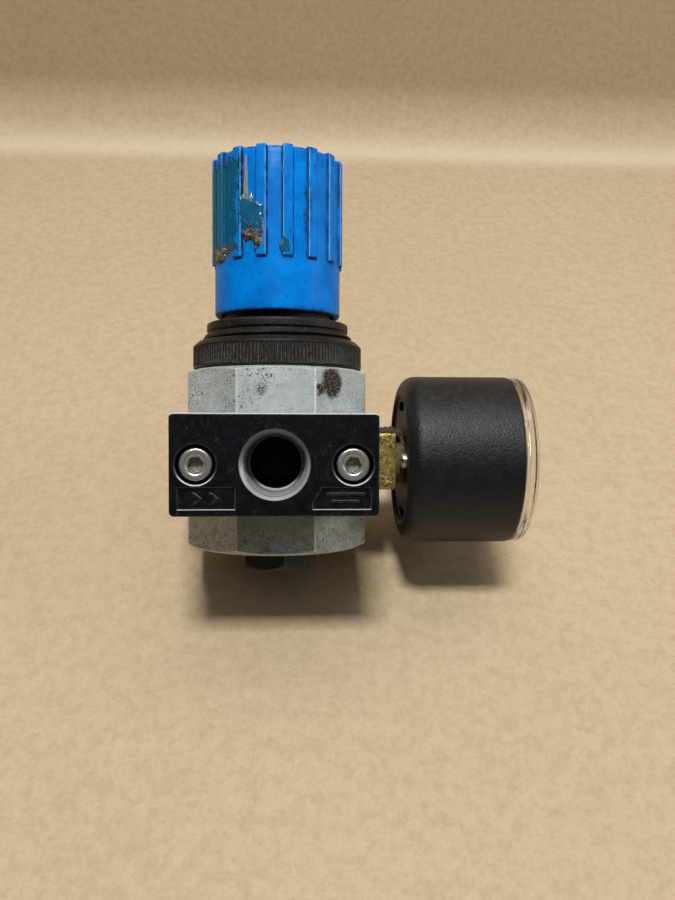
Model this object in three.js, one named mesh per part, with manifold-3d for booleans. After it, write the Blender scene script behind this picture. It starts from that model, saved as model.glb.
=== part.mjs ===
// Air pressure regulator with a side-mounted pressure gauge.
// Millimetres, +Z up along the regulator's axis. The origin is the centre of the bottom plug's flat face.
// -Y is the outlet side, +Y the inlet side, +X the side that carries the gauge.
import * as THREE from "three";
import { mergeVertices } from "three/addons/utils/BufferGeometryUtils.js";
import Module from "manifold-3d";

const wasm = await Module();
wasm.setup();

// ---------------------------------------------------------------- driving dimensions
const PORT_Z = 26; // height of the port axis and of the gauge axis

// housing: an octagon with a square block behind the port plates
const HOUSING_AF = 41.0; // across flats
const HOUSING_Z0 = 5.5;
const HOUSING_Z1 = 47.2;
const HOUSING_EDGE = 0.9; // bevel at top and bottom
const BLOCK_HALF_H = 10.3; // half height of the square block

// port plates
const PLATE_W = 42.6;
const PLATE_H = 21.0;
const PLATE_BACK = 20.6; // distance of the plate's rear face from the axis
const PLATE_FACE = 32; // distance of the plate's front face from the axis
const PLATE_CORNER = 1.0;
const PLATE_EDGE = 0.5;
const PORT_MOUTH_R = 7.25;
const PORT_BORE_R = 5.9;
const SCREW_X = 16; // plate screws either side of the port
const SCREW_HEAD_R = 3.4;
const SCREW_CBORE_R = 4.1;
const SCREW_SHANK_R = 2.0;
const SCREW_HEX_AF = 3.0;
const FIELD_DEPTH = 0.4; // recessed plain fields low on each plate

// valve chamber and bottom plug
const PLUG_HEX_AF = 17;
const PLUG_HEX_TURN = 10; // degrees, how the hexagon stands when tight
const CHAMBER_R = 6.5;
const PLUG_THREAD_R = 8.5;
const SEAT_Z = 32; // underside of the valve seat
const ORIFICE_R = 3.2;
const VALVE_TRAVEL = 1.2;

// diaphragm and bonnet
const DIAPHRAGM_Z = 39.1;
const BONNET_R = 17.8; // M36 x 1.5 panel thread, crest
const BONNET_TOP_STEP_R = 16.9;
const BONNET_SLEEVE_R = 12.6;
const BONNET_SLEEVE_IN = 11.2;
const COLLAR_TOP_Z = 58.2;

// ring nut
const NUT_R = 20.1;
const NUT_IN_R = 18.1;
const NUT_Z0 = 47.35;
const NUT_Z1 = 53.9;
const NUT_CHAMFER_Z = 52.7;

// knob
const KNOB_Z0 = 60.0;
const KNOB_Z1 = 96.6;
const KNOB_SKIRT_R = 14.9;
const KNOB_RIB_R = 15.6;
const KNOB_RIB_W = 2.35;
const KNOB_RIB_Z0 = 71.9;
const KNOB_RIBS = 16;
const KNOB_RIB_TURN = -13; // degrees, first rib from -Y towards +X
const KNOB_IN_R = 13.4;
const KNOB_LIFT = 3.0;

// setting train
const SPINDLE_R = 4.0;
const SPINDLE_PITCH = 1.25;
const SPINDLE_HEX_AF = 6.0;

// gauge, in its own frame: +Z runs along the gauge's axis away from the regulator
const CASE_R = 20.1;
const CASE_IN_R = 18.4;
const CASE_X0 = 29.5;
const CASE_X1 = 55.5;
const WINDOW_X1 = 58.7;
const WINDOW_R = 19.9;
const SQUARE_AF = 14;
const PINION_TEETH = 8;
const SECTOR_TEETH = 48; // teeth on the full pitch circle
const GEAR_MODULE = 0.35;
const GEAR_SPAN = (GEAR_MODULE * (PINION_TEETH + SECTOR_TEETH)) / 2; // between the two shafts
const POINTER_SWEEP = 270; // degrees

// ---------------------------------------------------------------- helpers
const rad = (d) => (d * Math.PI) / 180;

// A closed three.js geometry as a solid: shared vertices merged, collapsed triangles dropped, faces turned outwards.
function solid(geometry) {
  const g = geometry.clone();
  for (const k of Object.keys(g.attributes)) if (k !== "position") g.deleteAttribute(k);
  const m = mergeVertices(g, 1e-4);
  const p = m.attributes.position.array;
  const i = m.index.array;
  const tri = [];
  let volume = 0;
  for (let t = 0; t < i.length; t += 3) {
    const [a, b, c] = [i[t], i[t + 1], i[t + 2]];
    if (a === b || b === c || a === c) continue;
    tri.push(a, b, c);
    const [ax, ay, az] = p.slice(3 * a, 3 * a + 3);
    const [bx, by, bz] = p.slice(3 * b, 3 * b + 3);
    const [cx, cy, cz] = p.slice(3 * c, 3 * c + 3);
    volume += ax * (by * cz - bz * cy) + ay * (bz * cx - bx * cz) + az * (bx * cy - by * cx);
  }
  if (volume < 0)
    for (let t = 0; t < tri.length; t += 3) [tri[t + 1], tri[t + 2]] = [tri[t + 2], tri[t + 1]];
  return new wasm.Manifold(
    new wasm.Mesh({ numProp: 3, vertProperties: new Float32Array(p), triVerts: new Uint32Array(tri) }),
  );
}

// The geometry of a solid, for a mesh.
function geometryOf(s) {
  const m = s.getMesh();
  const v = new Float32Array(m.numVert * 3);
  for (let i = 0; i < m.numVert; i++) v.set(m.vertProperties.subarray(i * m.numProp, i * m.numProp + 3), i * 3);
  const g = new THREE.BufferGeometry();
  g.setAttribute("position", new THREE.BufferAttribute(v, 3));
  g.setIndex(new THREE.BufferAttribute(new Uint32Array(m.triVerts), 1));
  g.computeVertexNormals();
  return g;
}

const at = (g, x, y, z) => g.clone().translate(x, y, z);

// Facets round a circle: coarse enough to stay light, in fours so that neighbours line up.
const DETAIL = 0.45;
const facets = (n) => Math.max(12, 4 * Math.round((n * DETAIL) / 4));

// Turned solid about +Z from a closed profile of [r, z] points.
function turned(profile, segments = 40) {
  const pts = profile.map(([r, z]) => new THREE.Vector2(r, z));
  pts.push(pts[0].clone());
  const g = new THREE.LatheGeometry(pts, facets(segments));
  return g.rotateX(Math.PI / 2); // the lathe turns about +Y; after this it turns about +Z
}

// Tool for a bore whose flats stand at least r from its axis, so that a round part of radius r turns freely in it.
const bore = (r, z0, z1, segments = 24) => disc(r / Math.cos(Math.PI / facets(segments)), z0, z1, segments);

// Plain cylinder or ring between two heights.
const disc = (r, z0, z1, segments = 40) =>
  turned([[0, z0], [r, z0], [r, z1], [0, z1]], segments);
const ring = (ri, ro, z0, z1, segments = 40) =>
  turned([[ri, z0], [ro, z0], [ro, z1], [ri, z1]], segments);

// Prism from a closed outline of [x, y] points, with holes, between two heights.
function prism(points, z0, z1, holes = []) {
  const shape = new THREE.Shape(points.map(([x, y]) => new THREE.Vector2(x, y)));
  for (const h of holes) shape.holes.push(new THREE.Path(h.map(([x, y]) => new THREE.Vector2(x, y))));
  const g = new THREE.ExtrudeGeometry(shape, { depth: z1 - z0, bevelEnabled: false, steps: 1 });
  return g.translate(0, 0, z0);
}
const box = (x0, x1, y0, y1, z0, z1) =>
  new THREE.BoxGeometry(x1 - x0, y1 - y0, z1 - z0).translate((x0 + x1) / 2, (y0 + y1) / 2, (z0 + z1) / 2);
const circle = (r, n = 24, cx = 0, cy = 0, turn = 0) =>
  Array.from({ length: n }, (_, i) => {
    const a = turn + (2 * Math.PI * i) / n;
    return [cx + r * Math.cos(a), cy + r * Math.sin(a)];
  });
const polygonAF = (n, af, turnDeg = 0, cx = 0, cy = 0) => {
  const r = af / 2 / Math.cos(Math.PI / n);
  return Array.from({ length: n }, (_, i) => {
    const a = rad(turnDeg) + (2 * Math.PI * (i + 0.5)) / n;
    return [cx + r * Math.cos(a), cy + r * Math.sin(a)];
  });
};
function roundedRect(w, h, r, n = 3) {
  const pts = [];
  const corners = [[w / 2 - r, h / 2 - r, 0], [-w / 2 + r, h / 2 - r, 90], [-w / 2 + r, -h / 2 + r, 180], [w / 2 - r, -h / 2 + r, 270]];
  for (const [cx, cy, a0] of corners)
    for (let i = 0; i <= n; i++) {
      const a = rad(a0 + (90 * i) / n);
      pts.push([cx + r * Math.cos(a), cy + r * Math.sin(a)]);
    }
  return pts;
}

// Loft between outlines with the same number of points: [[points, z], ...], closed with flat ends.
function loft(levels) {
  const n = levels[0][0].length;
  const pos = [];
  const idx = [];
  for (const [pts, z] of levels) for (const [x, y] of pts) pos.push(x, y, z);
  for (let l = 0; l + 1 < levels.length; l++)
    for (let i = 0; i < n; i++) {
      const a = l * n + i, b = l * n + ((i + 1) % n), c = a + n, d = b + n;
      idx.push(a, b, d, a, d, c);
    }
  const caps = THREE.ShapeUtils.triangulateShape(levels[0][0].map(([x, y]) => new THREE.Vector2(x, y)), []);
  const top = (levels.length - 1) * n;
  for (const [a, b, c] of caps) {
    idx.push(a, c, b);
    idx.push(top + a, top + b, top + c);
  }
  const g = new THREE.BufferGeometry();
  g.setAttribute("position", new THREE.Float32BufferAttribute(pos, 3));
  g.setIndex(idx);
  return g;
}
const grown = (pts, d) => pts.map(([x, y]) => {
  const l = Math.hypot(x, y);
  return [x * (1 + d / l), y * (1 + d / l)];
});

// Wire of round section along a helix about +Z, ends squared off.
function helix(meanR, wireR, z0, z1, turns, wireSides = 6, stepsPerTurn = 14) {
  class Path extends THREE.Curve {
    getPoint(t, target = new THREE.Vector3()) {
      const a = 2 * Math.PI * turns * t;
      // closed end coils: the first and last three quarters of a turn climb slowly
      const e = 0.75 / turns, k = 0.16;
      const slow = (u) => (u < e ? k * u : u > 1 - e ? 1 - k * (1 - u) : k * e + ((u - e) * (1 - 2 * k * e)) / (1 - 2 * e));
      return target.set(meanR * Math.cos(a), meanR * Math.sin(a), z0 + wireR + (z1 - z0 - 2 * wireR) * slow(t));
    }
  }
  const section = new THREE.Shape(circle(wireR, wireSides).map(([x, y]) => new THREE.Vector2(x, y)));
  return new THREE.ExtrudeGeometry(section, { steps: Math.round(turns * stepsPerTurn), extrudePath: new Path() });
}
const oring = (meanR, wireR, z, segments = 32, sides = 8) =>
  turned(circle(wireR, sides, meanR, z), segments);

const join = (...g) => g.map((x) => (x instanceof THREE.BufferGeometry ? solid(x) : x)).reduce((a, b) => a.add(b));
const cut = (a, ...tools) =>
  tools.map((x) => (x instanceof THREE.BufferGeometry ? solid(x) : x))
    .reduce((s, b) => s.subtract(b), a instanceof THREE.BufferGeometry ? solid(a) : a);
const common = (a, b) => solid(a).intersect(solid(b));

const material = (color, roughness, metalness, extra = {}) =>
  new THREE.MeshStandardMaterial({ color, roughness, metalness, ...extra });
const MAT = {
  paintedCast: () => material(0xaeb6b4, 0.55, 0.35),
  blackPlate: () => material(0x15171b, 0.3, 0.3),
  steel: () => material(0xb9bab8, 0.3, 1.0),
  springSteel: () => material(0x8d9096, 0.35, 1.0),
  brass: () => material(0xb08d3e, 0.4, 1.0),
  blue: () => material(0x046fd6, 0.35, 0.0),
  blackPlastic: () => material(0x1b1a1a, 0.55, 0.0),
  dustyPlastic: () => material(0x37332f, 0.7, 0.0),
  caseBlack: () => material(0x20242a, 0.5, 0.0),
  rubber: () => material(0x141414, 0.8, 0.0),
  clear: () => material(0xe9e2d2, 0.08, 0.0, { transparent: true, opacity: 0.35 }),
  white: () => material(0xf1f0ea, 0.5, 0.0),
  whitePlastic: () => material(0xd8d6cd, 0.5, 0.0),
};

const regulator = new THREE.Group();
function piece(parent, name, shape, mat, rx = 0, ry = 0, rz = 0) {
  const g = shape instanceof THREE.BufferGeometry ? geometryOf(solid(shape)) : geometryOf(shape);
  const mesh = new THREE.Mesh(g, mat);
  mesh.name = name;
  mesh.rotation.set(rx, ry, rz);
  parent.add(mesh);
  return mesh;
}

// ---------------------------------------------------------------- housing
{
  const oct = (af) => polygonAF(8, af, 0);
  const half = HOUSING_AF / 2;
  const b = HOUSING_EDGE;
  const prismOct = loft([
    [oct(HOUSING_AF - 2 * b), HOUSING_Z0],
    [oct(HOUSING_AF - 0.6 * b), HOUSING_Z0 + 0.3 * b],
    [oct(HOUSING_AF), HOUSING_Z0 + b],
    [oct(HOUSING_AF), HOUSING_Z1 - b],
    [oct(HOUSING_AF - 0.6 * b), HOUSING_Z1 - 0.3 * b],
    [oct(HOUSING_AF - 2 * b), HOUSING_Z1],
  ]);
  const block = prism(roundedRect(HOUSING_AF, HOUSING_AF, 0.8, 2), PORT_Z - BLOCK_HALF_H, PORT_Z + BLOCK_HALF_H);
  const alongY = (g) => g.rotateX(-Math.PI / 2).translate(0, 0, PORT_Z); // +Z of the tool to +Y
  const alongX = (g) => g.rotateY(Math.PI / 2).translate(0, 0, PORT_Z); // +Z of the tool to +X
  const s = cut(
    join(prismOct, block),
    // bottom plug thread, valve chamber, seat orifice, diaphragm chamber, bonnet bore
    turned([[0, HOUSING_Z0 - 1], [PLUG_THREAD_R + 0.6, HOUSING_Z0 - 1], [PLUG_THREAD_R + 0.6, HOUSING_Z0 + 0.2], [PLUG_THREAD_R, HOUSING_Z0 + 0.8], [PLUG_THREAD_R, 13.1],
      [CHAMBER_R, 13.1], [CHAMBER_R, SEAT_Z], [ORIFICE_R, SEAT_Z], [ORIFICE_R, 35.5], [15, 35.5], [15, 39.0], [17.9, 39.0], [17.9, HOUSING_Z1 + 1], [0, HOUSING_Z1 + 1]], 53),
    // inlet bore, into the valve chamber; outlet bore, blind, with its rising passage
    alongY(disc(5.6, 4, half + 1, 28)),
    alongY(turned([[0, -half - 1], [5.6, -half - 1], [5.6, -9.6], [4.4, -9.0], [0, -9.0]], 28)),
    at(disc(2.4, PORT_Z, 36, 16), 0, -12, 0),
    // gauge ports and their rising passages
    alongX(disc(4.4, 10, half + 1, 24)),
    alongX(disc(4.4, -half - 1, -10, 24)),
    at(disc(1.5, PORT_Z, 36, 12), 12, 0, 0),
    at(disc(1.5, PORT_Z, 36, 12), -12, 0, 0),
    // blind tapped holes for the plate screws
    ...[[-SCREW_X, 1], [SCREW_X, 1], [-SCREW_X, -1], [SCREW_X, -1]].map(([x, sy]) =>
      at(disc(SCREW_SHANK_R + 0.1, 11.2, half + 1, 16), 0, 0, 0).rotateX(sy > 0 ? -Math.PI / 2 : Math.PI / 2).translate(x, 0, PORT_Z)),
  );
  piece(regulator, "housing", s, MAT.paintedCast());
}

// ---------------------------------------------------------------- port plates
// In the plate's frame x runs across, y up and +z out of the port.
function portPlate(parent, side) {
  const outline = roundedRect(PLATE_W - 2 * PLATE_EDGE, PLATE_H - 2 * PLATE_EDGE, PLATE_CORNER - PLATE_EDGE * 0.5, 3);
  const wide = (d) => roundedRect(PLATE_W - 2 * PLATE_EDGE + 2 * d, PLATE_H - 2 * PLATE_EDGE + 2 * d, PLATE_CORNER - PLATE_EDGE * 0.5 + d, 3);
  const blank = loft([
    [wide(PLATE_EDGE), PLATE_BACK],
    [wide(PLATE_EDGE), PLATE_FACE - PLATE_EDGE],
    [wide(PLATE_EDGE * 0.7), PLATE_FACE - PLATE_EDGE * 0.3],
    [outline, PLATE_FACE],
  ]);
  const fieldLeft = [[-19.7, -9.2], [-7.9, -9.2], [-7.9, -4.6], [-19.7, -4.6]];
  const fieldRight = [[7.6, -9.2], [19.7, -9.2], [19.7, -4.6], [9.4, -4.6], [7.6, -7.9]];
  const s = cut(
    blank,
    turned([[0, PLATE_BACK - 1], [PORT_BORE_R, PLATE_BACK - 1], [PORT_BORE_R, 24], [PORT_BORE_R + 0.5, PLATE_FACE - 0.9], [PORT_MOUTH_R, PLATE_FACE + 0.05], [PORT_MOUTH_R, PLATE_FACE + 1], [0, PLATE_FACE + 1]], 36),
    ring(7.3, 9.5, PLATE_BACK - 1, PLATE_BACK + 1.5, 32),
    ...[-SCREW_X, SCREW_X].map((x) => at(turned([[0, PLATE_BACK - 1], [SCREW_SHANK_R + 0.25, PLATE_BACK - 1], [SCREW_SHANK_R + 0.25, PLATE_FACE - 4.7], [SCREW_CBORE_R, PLATE_FACE - 4.7], [SCREW_CBORE_R, PLATE_FACE + 1], [0, PLATE_FACE + 1]], 24), x, 0, 0)),
    prism(fieldLeft, PLATE_FACE - FIELD_DEPTH, PLATE_FACE + 1),
    prism(fieldRight, PLATE_FACE - FIELD_DEPTH, PLATE_FACE + 1),
  );
  piece(parent, side + "_plate", s, MAT.blackPlate());
  piece(parent, side + "_plate_seal", oring(8.4, 0.75, PLATE_BACK + 0.72, 32, 8), MAT.rubber());
  const seat = PLATE_FACE - 4.6;
  for (const [label, x] of [["left", -SCREW_X], ["right", SCREW_X]]) {
    const screw = cut(
      turned([[0, 12.2], [SCREW_SHANK_R - 0.5, 12.2], [SCREW_SHANK_R, 12.8], [SCREW_SHANK_R, seat], [SCREW_HEAD_R, seat], [SCREW_HEAD_R, seat + 3.7], [SCREW_HEAD_R - 0.3, seat + 4], [0, seat + 4]], 24),
      prism(polygonAF(6, SCREW_HEX_AF, 0), seat + 2, seat + 5),
    );
    const m = piece(parent, side + "_plate_screw_" + label, screw, MAT.steel());
    m.position.x = x;
  }
}
const outletSide = new THREE.Group();
outletSide.rotation.x = Math.PI / 2; // +z of the plate to -Y
outletSide.position.z = PORT_Z;
regulator.add(outletSide);
portPlate(outletSide, "outlet");
const inletTurn = new THREE.Group();
inletTurn.rotation.z = Math.PI; // the same assembly on the rear face
inletTurn.position.z = PORT_Z;
const inletSide = new THREE.Group();
inletSide.rotation.x = Math.PI / 2;
inletTurn.add(inletSide);
regulator.add(inletTurn);
portPlate(inletSide, "inlet");

// ---------------------------------------------------------------- bottom plug and inlet valve
{
  const hexHead = common(
    prism(polygonAF(6, PLUG_HEX_AF, PLUG_HEX_TURN), 0, HOUSING_Z0 - 0.1),
    turned([[0, 0], [8.1, 0], [10.4, 2.3], [10.4, 6], [0, 6]], 36),
  );
  const body = cut(
    join(
      hexHead,
      turned([[0, 4], [8.35, 4], [8.35, 7.0], [7.0, 7.0], [7.0, 8.6], [8.35, 8.6], [8.35, 12.3], [7.8, 12.9], [3.2, 12.9], [3.2, 18.0], [0, 18.0]], 36),
    ),
    bore(2.04, 5.0, 19, 24),
  );
  piece(regulator, "bottom_plug", body, MAT.blackPlastic());
  piece(regulator, "bottom_plug_seal", oring(7.75, 0.65, 7.8, 32, 8), MAT.rubber());
  piece(regulator, "valve_spring", helix(4.3, 0.42, 13.05, 28.35, 5.5, 5, 10), MAT.springSteel());
  piece(regulator, "valve_poppet",
    turned([[0, 7.2], [1.7, 7.2], [2.0, 7.6], [2.0, 28.4], [5.3, 28.4], [5.3, 31.0], [5.6, 31.0], [5.6, 31.25], [1.4, 31.25], [1.4, 36.6], [1.2, 36.8], [0, 36.8]], 24),
    MAT.brass());
  piece(regulator, "valve_seat_seal", ring(1.5, 5.4, 31.35, 31.9, 28), MAT.rubber());
}

// ---------------------------------------------------------------- diaphragm and its plate
{
  const z = DIAPHRAGM_Z;
  piece(regulator, "diaphragm",
    turned([[2.75, z], [10.6, z], [11.4, z + 1.2], [12.4, z + 1.2], [13.2, z], [17.6, z], [17.6, z + 0.8], [13.5, z + 0.8], [12.7, z + 2.0], [11.1, z + 2.0], [10.2, z + 0.8], [2.75, z + 0.8]], 40),
    MAT.rubber());
  piece(regulator, "diaphragm_plate",
    turned([[0.8, 36.95], [2.4, 36.95], [2.4, 40.0], [9.9, 40.0], [9.9, 41.3], [7.2, 41.3], [7.2, 43.2], [6.8, 43.6], [3.4, 43.6], [3.4, 42], [0.8, 42]], 36),
    MAT.brass());
  piece(regulator, "relief_seat", turned([[2.5, 37.3], [5.0, 37.3], [5.4, 37.8], [5.4, 39.0], [2.5, 39.0]], 28), MAT.brass());
}

// ---------------------------------------------------------------- bonnet, setting train, ring nut
{
  const bonnet = cut(
    turned([
      [13.5, 40.0], [BONNET_R, 40.0], [BONNET_R, 55.1], [BONNET_R - 0.4, 55.5], [16.4, 55.5], [16.4, 56.3], [BONNET_TOP_STEP_R, 56.3], [BONNET_TOP_STEP_R, 57.8], [BONNET_TOP_STEP_R - 0.4, COLLAR_TOP_Z],
      [BONNET_SLEEVE_R, COLLAR_TOP_Z], [BONNET_SLEEVE_R, 85.4], [12.0, 86.0], [4.2, 86.0], [4.2, 83.2], [BONNET_SLEEVE_IN, 83.2], [BONNET_SLEEVE_IN, 56.5], [13.5, 54.6],
    ], 53),
    // two keyways for the spring nut, and the vent under the knob
    box(-12.0, 12.0, -1.6, 1.6, 60, 82),
    at(disc(1.0, 0, 6, 12).rotateY(Math.PI / 2), 9, 0, 59.4),
  );
  piece(regulator, "bonnet", bonnet, MAT.dustyPlastic());
  piece(regulator, "ring_nut",
    turned([[NUT_IN_R, NUT_Z0], [NUT_R - 0.3, NUT_Z0], [NUT_R, NUT_Z0 + 0.3], [NUT_R, NUT_CHAMFER_Z], [NUT_R - 1.2, NUT_Z1], [NUT_IN_R + 0.3, NUT_Z1], [NUT_IN_R, NUT_Z1 - 0.3]], 56),
    MAT.blackPlastic());
  piece(regulator, "regulating_spring", helix(8.55, 1.0, 41.45, 73.75, 7, 6, 12), MAT.springSteel());
  const lug = (sx) => box(sx > 0 ? 9.5 : -11.8, sx > 0 ? 11.8 : -9.5, -1.4, 1.4, 73.9, 77.9);
  piece(regulator, "spring_nut",
    cut(join(turned([[0, 72.0], [6.2, 72.0], [6.2, 73.9], [10.9, 73.9], [10.9, 77.9], [0, 77.9]], 36), lug(1), lug(-1)), bore(SPINDLE_R + 0.04, 71, 80, 28)),
    MAT.brass());
  piece(regulator, "adjusting_spindle",
    join(
      turned([[0, 62], [3.3, 62], [SPINDLE_R, 62.7], [SPINDLE_R, 81.2], [7.0, 81.2], [7.0, 82.5], [SPINDLE_R, 82.5], [SPINDLE_R, 86.4], [0, 86.4]], 28),
      prism(polygonAF(6, SPINDLE_HEX_AF, 0), 86, 92.2),
    ), MAT.steel());
  piece(regulator, "thrust_washer", ring(4.3, 8.0, 82.58, 83.12, 28), MAT.whitePlastic());
}

// ---------------------------------------------------------------- knob
{
  const outline = [];
  const halfW = KNOB_RIB_W / 2;
  for (let k = 0; k < KNOB_RIBS; k++) {
    const c = rad(-90 + KNOB_RIB_TURN + (360 / KNOB_RIBS) * k);
    const a0 = Math.asin(halfW / KNOB_SKIRT_R), a1 = Math.asin((halfW - 0.25) / KNOB_RIB_R);
    const pitch = (2 * Math.PI) / KNOB_RIBS;
    outline.push([KNOB_SKIRT_R * Math.cos(c - a0), KNOB_SKIRT_R * Math.sin(c - a0)]);
    outline.push([KNOB_RIB_R * Math.cos(c - a1), KNOB_RIB_R * Math.sin(c - a1)]);
    outline.push([KNOB_RIB_R * Math.cos(c + a1), KNOB_RIB_R * Math.sin(c + a1)]);
    outline.push([KNOB_SKIRT_R * Math.cos(c + a0), KNOB_SKIRT_R * Math.sin(c + a0)]);
    for (let j = 1; j <= 1; j++) {
      const a = c + a0 + ((pitch - 2 * a0) * j) / 2;
      outline.push([KNOB_SKIRT_R * Math.cos(a), KNOB_SKIRT_R * Math.sin(a)]);
    }
  }
  const ribbed = loft([
    [outline, KNOB_RIB_Z0],
    [outline, KNOB_Z1 - 1.1],
    [grown(outline, -0.9), KNOB_Z1],
  ]);
  const knob = cut(
    join(ribbed, turned([[0, KNOB_Z0], [KNOB_SKIRT_R, KNOB_Z0], [KNOB_SKIRT_R, KNOB_RIB_Z0 + 1], [0, KNOB_RIB_Z0 + 1]], 80)),
    // hollow around the hub, and the hexagon socket on the spindle
    turned([[5.6, 86.4], [12.2, 86.4], [KNOB_IN_R - 0.4, 86.4], [KNOB_IN_R - 0.4, 93.2], [5.6, 93.2]], 40),
    disc(KNOB_IN_R, KNOB_Z0 - 1, 86.5, 48),
    prism(polygonAF(6, SPINDLE_HEX_AF + 0.16, 0), 86, 93.4),
  );
  piece(regulator, "knob", knob, MAT.blue());
}

// ---------------------------------------------------------------- blanked gauge port
{
  const g = new THREE.Group();
  g.rotation.y = -Math.PI / 2; // +Z of the plug to -X
  g.position.z = PORT_Z;
  regulator.add(g);
  piece(g, "gauge_port_plug",
    cut(turned([[0, 11.5], [3.8, 11.5], [4.3, 12], [4.3, 21.6], [7.0, 21.6], [7.0, 23.2], [6.7, 23.5], [0, 23.5]], 28),
      prism(polygonAF(6, 5, 0), 20.0, 24)),
    MAT.blackPlate());
  piece(g, "gauge_port_plug_seal", ring(4.5, 6.6, 20.83, 21.55, 28), MAT.rubber());
}

// ---------------------------------------------------------------- gauge
// In the gauge's frame z runs along its axis away from the regulator; -x is up (+Z of the part) and y stays y.
const gauge = new THREE.Group();
gauge.rotation.y = Math.PI / 2;
gauge.position.z = PORT_Z;
regulator.add(gauge);
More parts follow.
